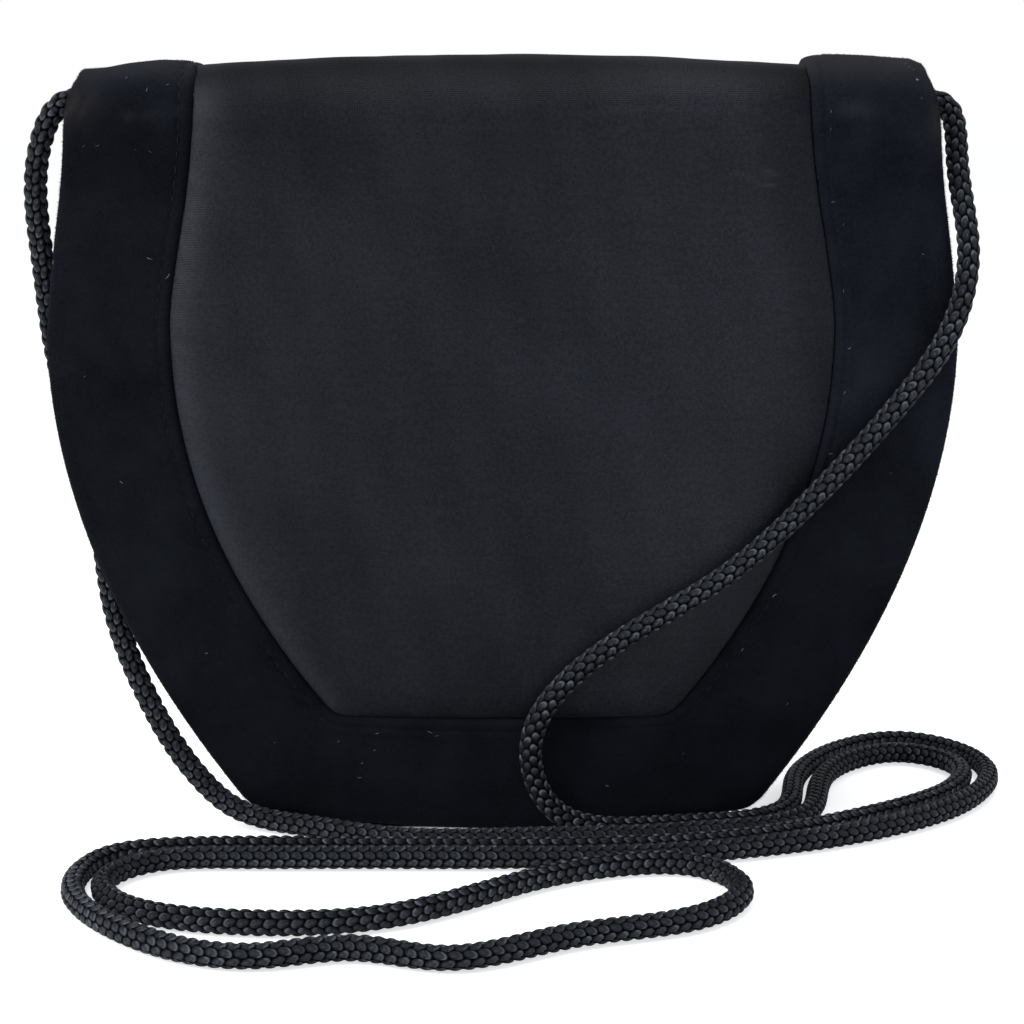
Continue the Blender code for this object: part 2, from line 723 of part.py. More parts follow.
def make_snap(group, hinge):
    """Magnetic snap: a stud on the flap's lining and a recessed socket on the front panel."""
    metal = new_material("blackened_metal", (0.05, 0.05, 0.055), 0.35, 1.0)
    lean = math.atan2(FLAP_LEAN, SHOULDER_Z)
    facing_front = Matrix.Rotation(math.pi / 2 - lean, 4, "X")
    facing_back = Matrix.Rotation(-math.pi / 2 - lean, 4, "X")
    seat = Vector((0.0, front_y(0.0, SNAP_Z) - CLEARANCE, SNAP_Z))
    socket = (
        (0.0, SOCKET_HEIGHT - SOCKET_RECESS),
        (SOCKET_RECESS_RADIUS, SOCKET_HEIGHT - SOCKET_RECESS),
        (SOCKET_RECESS_RADIUS, SOCKET_HEIGHT),
        (0.85 * SNAP_RADIUS, SOCKET_HEIGHT),
        (SNAP_RADIUS, 0.6 * SOCKET_HEIGHT),
        (SNAP_RADIUS, 0.0),
        (0.0, 0.0),
    )
    place = Matrix.Translation(seat) @ facing_front
    turned("snap_socket", socket, False, 28, metal, group, place)
    stud = (
        (0.0, STUD_FLANGE + STUD_BOSS),
        (STUD_BOSS_RADIUS - 0.3 * MM, STUD_FLANGE + STUD_BOSS),
        (STUD_BOSS_RADIUS, STUD_FLANGE + 0.7 * STUD_BOSS),
        (STUD_BOSS_RADIUS, STUD_FLANGE),
        (0.9 * SNAP_RADIUS, STUD_FLANGE),
        (SNAP_RADIUS, 0.5 * STUD_FLANGE),
        (SNAP_RADIUS, 0.0),
        (0.0, 0.0),
    )
    seat = Vector((0.0, front_y(0.0, SNAP_Z) - SNAP_GAP + CLEARANCE, SNAP_Z)) - HINGE
    place = Matrix.Translation(seat) @ facing_back
    turned("snap_stud", stud, False, 28, metal, group, place, hinge)


def make_eyelets(group):
    """Rolled metal eyelets through gusset and lining."""
    metal = new_material("black_eyelet_metal", (0.03, 0.03, 0.033), 0.3, 1.0)
    half = (GUSSET_THICKNESS + CLEARANCE + LINING_THICKNESS) / 2 + CLEARANCE
    rim = half + EYELET_FLANGE
    profile = (
        (EYELET_HOLE_RADIUS, rim),
        (EYELET_FLANGE_RADIUS - 0.3 * MM, rim),
        (EYELET_FLANGE_RADIUS, half + 0.5 * EYELET_FLANGE),
        (EYELET_FLANGE_RADIUS, half),
        (EYELET_BARREL_RADIUS, half),
        (EYELET_BARREL_RADIUS, -half),
        (EYELET_FLANGE_RADIUS, -half),
        (EYELET_FLANGE_RADIUS, -half - 0.5 * EYELET_FLANGE),
        (EYELET_FLANGE_RADIUS - 0.3 * MM, -rim),
        (EYELET_HOLE_RADIUS, -rim),
    )
    for side, name in ((-1, "cord_eyelet_left"), (1, "cord_eyelet_right")):
        turned(name, profile, True, 24, metal, group, eyelet_frame(side))


def smooth_route(points, samples):
    """Natural cubic spline through the points, read at evenly spaced samples."""
    gaps = np.linalg.norm(np.diff(points, axis=0), axis=1)
    knots = np.concatenate([[0.0], np.cumsum(gaps)])
    count = len(points)
    matrix = np.zeros((count, count))
    right = np.zeros((count, 3))
    matrix[0, 0] = 1.0
    matrix[-1, -1] = 1.0
    for i in range(1, count - 1):
        matrix[i, i - 1 : i + 2] = gaps[i - 1], 2 * (gaps[i - 1] + gaps[i]), gaps[i]
        slope = (points[i + 1] - points[i]) / gaps[i] - (points[i] - points[i - 1]) / gaps[i - 1]
        right[i] = 6 * slope
    bend = np.linalg.solve(matrix, right)
    at = np.linspace(0.0, knots[-1], samples)
    i = np.clip(np.searchsorted(knots, at, side="right") - 1, 0, count - 2)
    h = gaps[i][:, None]
    a = (knots[i + 1] - at)[:, None] / h
    b = 1 - a
    return (
        a * points[i]
        + b * points[i + 1]
        + ((a**3 - a) * bend[i] + (b**3 - b) * bend[i + 1]) * h**2 / 6
    )


def thinned_route(fine, count):
    """The fine line read at count places, closer together where it bends and at both ends."""
    along = np.diff(fine, axis=0)
    steps = np.linalg.norm(along, axis=1)
    along /= steps[:, None]
    turning = np.concatenate([[0.0], np.linalg.norm(np.diff(along, axis=0), axis=1)])
    reach = np.cumsum(steps)
    from_end = np.minimum(reach, reach[-1] - reach)
    steps = steps * (1 + CORD_END_WEIGHT * np.exp(-from_end / CORD_END_REACH))
    measure = np.concatenate([[0.0], np.cumsum(steps + CORD_BEND_WEIGHT * turning)])
    at = np.linspace(0.0, measure[-1], count)
    return np.stack([np.interp(at, measure, fine[:, k]) for k in range(3)], axis=1)


def cord_route():
    """The route's points in metres, with the straight stretches through both eyelets."""
    wider = FLAP_HALF_WIDTH / (ROUTE_HALF_WIDTH_MM * MM)
    higher = (FLAP_TOP_Z - ROUTE_FLOOR_MM * MM) / ((ROUTE_TOP_MM - ROUTE_FLOOR_MM) * MM)
    route = np.array(CORD_ROUTE_MM)
    route[:, 0] *= wider
    route[:, 2] = ROUTE_FLOOR_MM + (route[:, 2] - ROUTE_FLOOR_MM) * higher
    through = [Vector((0, 0, reach)) for reach in CORD_THROUGH]
    left = [eyelet_frame(-1) @ point for point in through]
    right = [eyelet_frame(1) @ point for point in reversed(through)]
    return np.concatenate([np.array(left), route * MM, np.array(right)])


def make_cord(group):
    """Braided cord as one tube along its route, from knot to knot."""
    fine = smooth_route(cord_route(), 3000)
    fine[:, 2] = np.maximum(fine[:, 2], CORD_RADIUS + 0.1 * MM)
    line = thinned_route(fine, CORD_TUBE_POINTS)
    curve = bpy.data.curves.new("shoulder_cord", "CURVE")
    curve.dimensions = "3D"
    spline = curve.splines.new("POLY")
    spline.points.add(len(line) - 1)
    for point, place in zip(spline.points, line):
        point.co = (*place, 1.0)
    curve.bevel_depth = CORD_RADIUS
    curve.bevel_resolution = 2
    curve.use_fill_caps = True
    curve.materials.append(new_material("black_cord", (0.020, 0.020, 0.024), 0.6))
    cord = bpy.data.objects.new("shoulder_cord", curve)
    group.objects.link(cord)
    return fine


def make_knots(group, fine):
    """Knots inside the pouch that keep the cord from pulling out through the eyelets."""
    cloth = new_material("black_cord_knot", (0.020, 0.020, 0.024), 0.6)
    ends = (("cord_knot_left", fine[0], fine[0] - fine[8]), ("cord_knot_right", fine[-1], fine[-1] - fine[-9]))
    for name, end, inward in ends:
        inward = Vector(inward).normalized()
        mesh = bpy.data.meshes.new(name)
        bm = bmesh.new()
        bmesh.ops.create_uvsphere(bm, u_segments=14, v_segments=8, radius=1.0)
        squash = Matrix.Diagonal((KNOT_RADIUS, KNOT_RADIUS, KNOT_LENGTH / 2, 1.0))
        bmesh.ops.transform(bm, matrix=squash, verts=bm.verts[:])
        bm.to_mesh(mesh)
        bm.free()
        knot = finish_object(name, mesh, cloth, group)
        middle = Vector(end) + inward * (KNOT_LENGTH / 2 + CLEARANCE)
        knot.matrix_world = Matrix.Translation(middle) @ inward.to_track_quat("Z", "Y").to_matrix().to_4x4()


def build():
    clear_scene()
    group = new_collection("evening_shoulder_bag")
    cutter_group = new_collection("cutters")
    hinge = bpy.data.objects.new("flap_hinge", None)
    hinge.location = HINGE
    group.objects.link(hinge)
    make_velvet_border(group, hinge)
    make_satin_panel(group, hinge)
    make_flap_wadding(group, hinge)
    make_flap_board(group, hinge)
    make_flap_lining(group, hinge)
    make_panels(group)
    cutters = make_cutters(cutter_group)
    make_gusset(group, cutters)
    make_lining(group, cutters)
    make_snap(group, hinge)
    make_eyelets(group)
    fine = make_cord(group)
    make_knots(group, fine)


build()
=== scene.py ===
"""Looks of the evening shoulder bag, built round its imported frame.

All shapes are worked out in millimetres in the frame's axes and stored in metres.
"""

import math

import bpy
import numpy as np
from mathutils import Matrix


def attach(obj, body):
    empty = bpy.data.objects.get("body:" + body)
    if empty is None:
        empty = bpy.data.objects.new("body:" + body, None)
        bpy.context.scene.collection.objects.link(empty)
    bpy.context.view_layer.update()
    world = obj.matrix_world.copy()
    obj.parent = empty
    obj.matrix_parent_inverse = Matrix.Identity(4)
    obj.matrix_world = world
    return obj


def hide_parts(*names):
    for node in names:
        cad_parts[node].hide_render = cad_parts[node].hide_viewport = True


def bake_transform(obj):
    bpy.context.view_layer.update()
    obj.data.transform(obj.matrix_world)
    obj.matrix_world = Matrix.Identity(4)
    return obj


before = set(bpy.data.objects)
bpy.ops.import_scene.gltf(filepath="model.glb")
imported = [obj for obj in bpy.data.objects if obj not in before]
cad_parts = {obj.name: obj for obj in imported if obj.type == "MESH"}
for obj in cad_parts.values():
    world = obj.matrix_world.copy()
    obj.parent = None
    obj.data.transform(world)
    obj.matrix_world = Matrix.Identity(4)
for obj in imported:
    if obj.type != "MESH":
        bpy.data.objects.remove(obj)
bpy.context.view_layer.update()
MM = 0.001

# Camera: slightly above the bag, looking down on it by 10.5 degrees.

camera_data = bpy.data.cameras.new("camera")
camera_data.lens = 79.1
camera_data.sensor_width = 36.0
camera_data.clip_start = 0.01
camera = bpy.data.objects.new("camera", camera_data)
camera.location = (0.002, -0.475, 0.153)
camera.rotation_euler = (math.radians(79.5), 0.0, 0.0)
bpy.context.scene.collection.objects.link(camera)
bpy.context.scene.camera = camera

# Light: a wide soft lamp high on the left, a second overhead and a weak one on the right,
# inside an even white surrounding that the camera sees as plain white.


def soft_lamp(name, place, target, size, power, colour):
    """Square lamp at place, size metres wide, turned to face the target."""
    data = bpy.data.lights.new(name, "AREA")
    data.shape = "SQUARE"
    data.size = size
    data.energy = power
    data.color = colour
    lamp = bpy.data.objects.new(name, data)
    aim = np.array(target) - np.array(place)
    flat = math.hypot(aim[0], aim[1])
    lamp.location = place
    lamp.rotation_euler = (math.atan2(flat, -aim[2]), 0.0, math.atan2(aim[1], aim[0]) - math.pi / 2)
    bpy.context.scene.collection.objects.link(lamp)


soft_lamp("left_lamp", (-0.95, -0.45, 0.75), (0.0, 0.0, 0.08), 0.7, 10.0, (1.0, 0.99, 0.98))
soft_lamp("top_lamp", (0.05, -0.10, 1.25), (0.0, 0.0, 0.10), 0.8, 6.0, (1.0, 1.0, 1.0))
soft_lamp("right_lamp", (0.95, -0.60, 0.55), (0.0, 0.0, 0.08), 0.6, 1.2, (0.97, 0.98, 1.0))

world = bpy.data.worlds.new("white_surrounding")
bpy.context.scene.world = world
world.use_nodes = True
nodes = world.node_tree.nodes
links = world.node_tree.links
nodes.clear()
seen = nodes.new("ShaderNodeBackground")
seen.inputs["Color"].default_value = (1.0, 1.0, 1.0, 1.0)
seen.inputs["Strength"].default_value = 1.0
felt = nodes.new("ShaderNodeBackground")
felt.inputs["Color"].default_value = (0.94, 0.96, 1.0, 1.0)
felt.inputs["Strength"].default_value = 0.42
ray = nodes.new("ShaderNodeLightPath")
mix = nodes.new("ShaderNodeMixShader")
out = nodes.new("ShaderNodeOutputWorld")
links.new(ray.outputs["Is Camera Ray"], mix.inputs["Fac"])
links.new(felt.outputs["Background"], mix.inputs[1])
links.new(seen.outputs["Background"], mix.inputs[2])
links.new(mix.outputs["Shader"], out.inputs["Surface"])
bpy.context.scene.view_settings.view_transform = "Standard"

# Floor: white paper. It glows a little to the camera only, so that nothing but the closest shadows
# show and the bag gets no light from it. A dark patch with soft edges, about 90 by 33 mm, is the
# contact shadow under the bag.


def feed(tree, socket, value):
    """Gives an input a plain value, or links it from another node's output."""
    if isinstance(value, bpy.types.NodeSocket):
        tree.links.new(value, socket)
    else:
        socket.default_value = value


def add_math(tree, operation, *values):
    """Math node on plain values or other nodes' outputs."""
    node = tree.nodes.new("ShaderNodeMath")
    node.operation = operation
    for socket, value in zip(node.inputs, values):
        feed(tree, socket, value)
    return node.outputs[0]


def add_range(tree, value, from_low, from_high, to_low=0.0, to_high=1.0, smooth=False):
    """The value moved from one range of numbers to another, and kept inside it."""
    node = tree.nodes.new("ShaderNodeMapRange")
    if smooth:
        node.interpolation_type = "SMOOTHSTEP"
    limits = {"From Min": from_low, "From Max": from_high, "To Min": to_low, "To Max": to_high}
    for name, limit in limits.items():
        node.inputs[name].default_value = limit
    tree.links.new(value, node.inputs["Value"])
    return node.outputs["Result"]


def add_mix(tree, amount, first, second):
    """Colour between first, where amount is 0, and second, where it is 1."""
    node = tree.nodes.new("ShaderNodeMix")
    node.data_type = "RGBA"
    for name, value in (("Factor", amount), ("A", first), ("B", second)):
        feed(tree, node.inputs[name], value)
    return node.outputs["Result"]


floor_data = bpy.data.meshes.new("floor")
corners = [(x, y, -0.0002) for x, y in ((-4, -2), (4, -2), (4, 6), (-4, 6))]
floor_data.from_pydata(corners, [], [(0, 1, 2, 3)])
floor = bpy.data.objects.new("floor", floor_data)
bpy.context.scene.collection.objects.link(floor)
paper = bpy.data.materials.new("white_paper")
paper.use_nodes = True
tree = paper.node_tree
nodes = tree.nodes
links = tree.links
nodes.clear()
place = nodes.new("ShaderNodeTexCoord")
split = nodes.new("ShaderNodeSeparateXYZ")
links.new(place.outputs["Object"], split.inputs[0])
clear_of_bag = []
for axis, inner, outer in (("X", 0.043, 0.050), ("Y", 0.0155, 0.0180)):
    distance = add_math(tree, "ABSOLUTE", split.outputs[axis])
    clear_of_bag.append(add_range(tree, distance, inner, outer, smooth=True))
lit = add_math(tree, "MAXIMUM", *clear_of_bag)
shade = add_mix(tree, lit, (0.05, 0.05, 0.055, 1.0), (0.86, 0.87, 0.88, 1.0))
diffuse = nodes.new("ShaderNodeBsdfDiffuse")
links.new(shade, diffuse.inputs["Color"])
glow = nodes.new("ShaderNodeEmission")
glow.inputs["Color"].default_value = (0.98, 0.99, 1.0, 1.0)
links.new(add_math(tree, "MULTIPLY", lit, 0.66), glow.inputs["Strength"])
ray = nodes.new("ShaderNodeLightPath")
both = nodes.new("ShaderNodeAddShader")
mix = nodes.new("ShaderNodeMixShader")
out = nodes.new("ShaderNodeOutputMaterial")
links.new(diffuse.outputs["BSDF"], both.inputs[0])
links.new(glow.outputs["Emission"], both.inputs[1])
links.new(ray.outputs["Is Camera Ray"], mix.inputs["Fac"])
links.new(diffuse.outputs["BSDF"], mix.inputs[1])
links.new(both.outputs["Shader"], mix.inputs[2])
links.new(mix.outputs["Shader"], out.inputs["Surface"])
floor_data.materials.append(paper)

# Braided cord: eight-strand black rayon braid, 4.6 mm thick and 1.50 m long. It leaves the pouch
# by the left eyelet, lies on the floor in three loops, crosses the flap and goes in on the right.

CORD_ROUTE = (
    (-91.3, 0.8, 151.4), (-95.4, -1.0, 145.0), (-96.1, -3.0, 119.0), (-93.9, -3.0, 98.5),
    (-88.9, -3.0, 79.0), (-85.6, -3.4, 61.0), (-83.4, -5.0, 46.0), (-76.3, -11.0, 28.5),
    (-63.6, -15.0, 9.5), (-57.0, -17.2, 4.6), (-48.0, -20.2, 2.5), (-20.0, -31.4, 2.4),
    (-6.0, -32.2, 2.4), (12.0, -30.9, 2.4), (27.0, -29.7, 2.4), (41.0, -27.0, 2.4),
    (54.8, -23.7, 2.4), (63.1, -17.8, 2.4), (69.4, 1.5, 2.4), (80.0, 24.0, 2.4),
    (92.5, 30.3, 2.4), (102.6, 22.0, 2.4), (101.5, 7.0, 2.4), (82.0, -13.8, 2.4),
    (50.0, -31.6, 2.4), (0.0, -37.4, 2.4), (-58.0, -37.3, 2.4), (-78.9, -42.7, 2.4),
    (-83.2, -58.0, 2.4), (-72.2, -80.4, 2.4), (-43.0, -95.6, 2.4), (-26.6, -91.9, 2.4),
    (-11.0, -96.6, 2.4), (12.4, -86.2, 2.4), (37.5, -76.0, 2.4), (46.3, -60.5, 2.4),
    (38.0, -47.4, 2.4), (24.0, -47.3, 2.4), (10.0, -53.4, 2.4), (-22.0, -76.3, 2.4),
    (-48.0, -79.2, 2.4), (-74.0, -67.5, 2.4), (-77.3, -56.0, 2.4), (-70.0, -45.6, 2.4),
    (-54.0, -43.0, 2.4), (-10.0, -42.9, 2.4), (32.0, -41.1, 2.4), (56.0, -34.9, 2.4),
    (80.4, -23.5, 2.4), (105.0, 1.0, 2.4), (108.5, 25.0, 2.4), (94.1, 40.0, 2.4),
    (78.5, 32.0, 2.4), (64.5, 5.5, 2.4), (58.6, -14.6, 2.4), (52.4, -19.2, 2.4),
    (41.6, -21.9, 2.4), (24.5, -24.9, 2.5), (11.0, -25.4, 6.5), (5.9, -24.7, 20.0),
    (15.6, -25.1, 36.2), (45.0, -22.9, 55.3), (66.2, -19.2, 73.7), (83.1, -16.8, 92.6),
    (92.6, -15.5, 107.7), (95.3, -13.3, 121.0), (93.8, -5.6, 140.0), (91.3, 0.6, 151.4),
)
EYELET = np.array([80.05, 1.5, 151.1])
EYELET_AXIS = np.array([0.9845, 0.0, 0.1753])


def smooth_route(points, samples):
    """Natural cubic spline through the points, read at evenly spaced samples.

    Between points i and i+1, h apart, with a = (t[i+1] - t) / h and b = 1 - a:
    p = a p[i] + b p[i+1] + ((a^3 - a) m[i] + (b^3 - b) m[i+1]) h^2 / 6, where m is the bend at each point.
    """
    gaps = np.linalg.norm(np.diff(points, axis=0), axis=1)
    knots = np.concatenate([[0.0], np.cumsum(gaps)])
    count = len(points)
    matrix = np.zeros((count, count))
    right = np.zeros((count, 3))
    matrix[0, 0] = matrix[-1, -1] = 1.0
    for i in range(1, count - 1):
        matrix[i, i - 1 : i + 2] = gaps[i - 1], 2 * (gaps[i - 1] + gaps[i]), gaps[i]
        right[i] = 6 * ((points[i + 1] - points[i]) / gaps[i] - (points[i] - points[i - 1]) / gaps[i - 1])
    bend = np.linalg.solve(matrix, right)
    at = np.linspace(0.0, knots[-1], samples)
    i = np.clip(np.searchsorted(knots, at, side="right") - 1, 0, count - 2)
    h = gaps[i][:, None]
    a = (knots[i + 1] - at)[:, None] / h
    b = 1 - a
    return a * points[i] + b * points[i + 1] + ((a**3 - a) * bend[i] + (b**3 - b) * bend[i + 1]) * h**2 / 6


def even_steps(line, count):
    """The line read again at count places the same distance apart."""
    reach = np.concatenate([[0.0], np.cumsum(np.linalg.norm(np.diff(line, axis=0), axis=1))])
    at = np.linspace(0.0, reach[-1], count)
    return np.stack([np.interp(at, reach, line[:, k]) for k in range(3)], axis=1), at


def carried_frames(line):
    """Two directions square to the line at each point, carried along it without twisting.

    At each step the last direction n is made square to the new tangent t again: n - (n . t) t.
    """
    tangent = np.gradient(line, axis=0)
    tangent /= np.linalg.norm(tangent, axis=1)[:, None]
    side = np.empty_like(line)
    first = np.cross(tangent[0], [0.0, 1.0, 0.3])
    side[0] = first / np.linalg.norm(first)
    for i in range(1, len(line)):
        n = side[i - 1] - tangent[i] * (side[i - 1] @ tangent[i])
        side[i] = n / np.linalg.norm(n)
    return side, np.cross(tangent, side)


def braid_height(column, along):
    """Height from 0 to 1 of the braid's surface.

    column counts its 8 columns of bumps round the cord and along counts bumps down it. Every other
    column is shifted by half a bump. With u and v from the middle of the bump,
    h = sqrt(1 - ((u + 0.35 v) / 0.57)^2 - (v / 0.52)^2), the slant changing side from column to column.
    """
    shift = np.floor(column) % 2
    u = column - np.floor(column) - 0.5
    v = (along + shift / 2) % 1.0 - 0.5
    slant = (2 * shift - 1) * 0.35
    return np.sqrt(np.clip(1 - ((u + slant * v) / 0.57) ** 2 - (v / 0.52) ** 2, 0, 1))


def mesh_in_mm(name, points, faces):
    """New mesh from points in mm."""
    mesh = bpy.data.meshes.new(name)
    mesh.from_pydata((np.reshape(points, (-1, 3)) * MM).tolist(), [], faces)
    return mesh


def new_piece(name, mesh, material):
    """The mesh as an object in the scene, in its material."""
    mesh.materials.append(material)
    piece = bpy.data.objects.new(name, mesh)
    bpy.context.scene.collection.objects.link(piece)
    return piece


def braided_tube(name, line, radius, around):
    """Closed tube along the line, in mm, with the braid's bumps in its surface and in its UV map.

    A bump is 2.45 long where the cord lies on the floor and up to 2.8 where it hangs and is stretched.
    """
    line, reach = even_steps(line, len(line))
    side, up = carried_frames(line)
    pitch = 2.45 + 0.35 * np.clip((line[:, 2] - 5.0) / 30.0, 0, 1)
    along = np.concatenate([[0.0], np.cumsum(np.diff(reach) / pitch[1:])])
    count = len(line)
    columns = np.arange(around) * 8 / around
    angle = columns * math.pi / 4
    height = braid_height(columns[None, :], along[:, None])
    swell = 1 + 0.02 * np.sin(reach / 17.0) + 0.015 * np.sin(reach / 6.3 + 1.0)
    out = (radius * 0.79 + radius * 0.24 * height) * swell[:, None]
    ring = np.cos(angle)[:, None] * side[:, None] + np.sin(angle)[:, None] * up[:, None]
    points = line[:, None] + ring * out[..., None]
    i = np.arange(count - 1)[:, None] * around
    j = np.arange(around)[None, :]
    k = (j + 1) % around
    quads = np.stack([i + j, i + k, i + around + k, i + around + j], axis=-1).reshape(-1, 4)
    faces = quads.tolist()
    faces.append(list(range(around)))
    faces.append(list(range(around * count - 1, around * (count - 1) - 1, -1)))
    mesh = mesh_in_mm(name, points, faces)
    u = np.stack([j, j + 1, j + 1, j], axis=-1) * 8 / around + np.zeros((count - 1, 1, 1))
    v = np.stack([along[:-1], along[:-1], along[1:], along[1:]], axis=-1)[:, None, :]
    v = v + np.zeros((1, around, 1))
    uv = np.zeros((len(mesh.loops), 2))
    uv[: u.size] = np.stack([u.reshape(-1), v.reshape(-1)], axis=1)
    mesh.uv_layers.new(name="braid").data.foreach_set("uv", uv.reshape(-1))
    mesh.shade_smooth()
    return mesh


def new_finish(name):
    """New material, with its node tree and the shader that its nodes feed."""
    material = bpy.data.materials.new(name)
    material.use_nodes = True
    return material, material.node_tree, material.node_tree.nodes["Principled BSDF"]


def place_on_piece(tree):
    """Coordinates that stay with the piece, in metres."""
    return tree.nodes.new("ShaderNodeTexCoord").outputs["Object"]


def add_noise(tree, place, scale, detail, roughness=0.5):
    """Cloudy noise from 0 to 1 at the place."""
    node = tree.nodes.new("ShaderNodeTexNoise")
    node.inputs["Scale"].default_value = scale
    node.inputs["Detail"].default_value = detail
    node.inputs["Roughness"].default_value = roughness
    tree.links.new(place, node.inputs["Vector"])
    return node.outputs["Fac"]


def add_ramp(tree, amount, low, dark, high, light):
    """Colour that goes from dark, where amount is low, to light, where it is high."""
    node = tree.nodes.new("ShaderNodeValToRGB")
    for end, position, colour in zip(node.color_ramp.elements, (low, high), (dark, light)):
        end.position = position
        end.color = (*colour, 1.0)
    tree.links.new(amount, node.inputs["Fac"])
    return node.outputs["Color"]


def add_bump(tree, shader, height, strength, distance):
    """Raises the shader's surface by the height, which counts in units of distance metres."""
    node = tree.nodes.new("ShaderNodeBump")
    node.inputs["Strength"].default_value = strength
    node.inputs["Distance"].default_value = distance
    tree.links.new(height, node.inputs["Height"])
    tree.links.new(node.outputs["Normal"], shader.inputs["Normal"])


def cord_material(name):
    """Black rayon braid: bumps with fine filaments and painted highlights, painted shade in the hollows.

    Each bump is a dome sqrt(1 - (across / 0.56)^2 - (v / 0.50)^2), in the braid's own UV map.
    """
    material, tree, shader = new_finish(name)
    nodes, links = tree.nodes, tree.links

    def math_node(operation, *values):
        return add_math(tree, operation, *values)

    uv = nodes.new("ShaderNodeUVMap")
    uv.uv_map = "braid"
    split = nodes.new("ShaderNodeSeparateXYZ")
    links.new(uv.outputs["UV"], split.inputs[0])
    column, along = split.outputs["X"], split.outputs["Y"]
    shift = math_node("MODULO", math_node("FLOOR", column), 2.0)
    u = math_node("SUBTRACT", math_node("FRACT", column), 0.5)
    v = math_node("SUBTRACT", math_node("FRACT", math_node("MULTIPLY_ADD", shift, 0.5, along)), 0.5)
    slant = math_node("MULTIPLY_ADD", shift, 0.7, -0.35)
    across = math_node("MULTIPLY_ADD", slant, v, u)
    a = math_node("POWER", math_node("ABSOLUTE", math_node("DIVIDE", across, 0.56)), 2.0)
    b = math_node("POWER", math_node("ABSOLUTE", math_node("DIVIDE", v, 0.50)), 2.0)
    dome = math_node("SQRT", math_node("MAXIMUM", math_node("SUBTRACT", 1.0, math_node("ADD", a, b)), 0.0))
    filament = math_node("SINE", math_node("MULTIPLY", across, 42.0))
    height = math_node("MULTIPLY_ADD", filament, 0.11, dome)

    fuzz = add_noise(tree, place_on_piece(tree), 1500.0, 3.0)
    add_bump(tree, shader, math_node("MULTIPLY_ADD", fuzz, 0.18, height), 0.9, 0.00045)

    # Painted highlight: a bright crescent painted at one end of each bump, where the yarn turns over; each
    # bump has its own strength.
    ring = math_node("DIVIDE", math_node("SUBTRACT", dome, 0.68), 0.17)
    ring = math_node("EXPONENT", math_node("MULTIPLY", math_node("MULTIPLY", ring, ring), -1.0))
    one_end = math_node("MULTIPLY_ADD", v, 5.0, 0.1)
    one_end = math_node("MINIMUM", math_node("MAXIMUM", one_end, 0.0), 1.0)
    bump_number = nodes.new("ShaderNodeCombineXYZ")
    links.new(math_node("FLOOR", column), bump_number.inputs["X"])
    links.new(math_node("FLOOR", math_node("MULTIPLY_ADD", shift, 0.5, along)), bump_number.inputs["Y"])
    own = nodes.new("ShaderNodeTexWhiteNoise")
    own.noise_dimensions = "2D"
    links.new(bump_number.outputs[0], own.inputs["Vector"])
    uneven = math_node("MULTIPLY_ADD", own.outputs["Value"], 0.75, 0.40)
    # Painted shade: the colour darkens from the top of each bump down into the hollows between bumps.
    amount = math_node("MULTIPLY", dome, uneven)
    yarn_with_painted_shade = add_ramp(tree, amount, 0.15, (0.0018, 0.0022, 0.0034), 0.98, (0.0066, 0.0078, 0.0118))
    strength = math_node("MULTIPLY_ADD", own.outputs["Value"], 0.85, 0.12)
    strength = math_node("MULTIPLY", strength, math_node("MULTIPLY_ADD", filament, 0.3, 0.7))
    painted_crescent_highlight = math_node("MULTIPLY", math_node("MULTIPLY", ring, one_end), strength)
    links.new(add_mix(tree, painted_crescent_highlight, yarn_with_painted_shade, (0.205, 0.222, 0.262, 1.0)), shader.inputs["Base Color"])
    links.new(add_range(tree, dome, 0.0, 1.0, 0.85, 0.30), shader.inputs["Roughness"])
    links.new(math_node("MULTIPLY_ADD", dome, 0.42, 0.04), shader.inputs["Specular IOR Level"])
    shader.inputs["Specular Tint"].default_value = (0.80, 0.88, 1.0, 1.0)
    shader.inputs["Sheen Weight"].default_value = 0.01
    shader.inputs["Sheen Roughness"].default_value = 0.4
    return material


# Each end of the cord runs straight through its eyelet, from 3.6 outside to 3.6 inside.
through = [EYELET + EYELET_AXIS * reach for reach in (-3.6, 0.0, 3.6)]
mirror = np.array([-1.0, 1.0, 1.0])
route = np.concatenate([np.array(through) * mirror, np.array(CORD_ROUTE), np.array(through[::-1])])
cord_line = smooth_route(route, 6000)
cord_line[:, 2] = np.maximum(cord_line[:, 2], 2.4)
cord_line, cord_reach = even_steps(cord_line, 3030)
cord_mesh = braided_tube("braided_cord", cord_line, 2.36, 32)
cord = new_piece("braided_cord", cord_mesh, cord_material("black_rayon_braid"))
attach(cord, "bag_body")
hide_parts("shoulder_cord")

# Knots: each end of the cord is tied once inside the pouch, so that it can't pull out through its
# eyelet. The same braid, drawn tight.


def knot_line(end, inward, size):
    """Overhand knot pulled tight, as a trefoil round the cord's direction: with a from 0 to 2 pi,
    (sin a + 2 sin 2a, cos a - 2 cos 2a, -1.5 sin 3a) times size. A short gap parts its ends."""
    a = np.linspace(0.0, 2 * math.pi, 241)[:-6]
    shape = np.stack(
        [np.sin(a) + 2 * np.sin(2 * a), np.cos(a) - 2 * np.cos(2 * a), -1.5 * np.sin(3 * a)], axis=1
    )
    inward = inward / np.linalg.norm(inward)
    side = np.cross(inward, [0.0, 0.0, 1.0])
    side /= np.linalg.norm(side)
    up = np.cross(side, inward)
    middle = end + inward * 3.8
    return middle + size * (shape[:, :1] * side + shape[:, 1:2] * up + shape[:, 2:] * inward)


for side_name, end, before in (
    ("left", cord_line[0], cord_line[8]),
    ("right", cord_line[-1], cord_line[-9]),
):
    name = "tied_knot_" + side_name
    knot_mesh = braided_tube(name, knot_line(end, end - before, 1.02), 1.35, 16)
    knot = new_piece(name, knot_mesh, cord_material("black_rayon_knot_" + side_name))
    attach(knot, "bag_body")
    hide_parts("cord_knot_" + side_name)

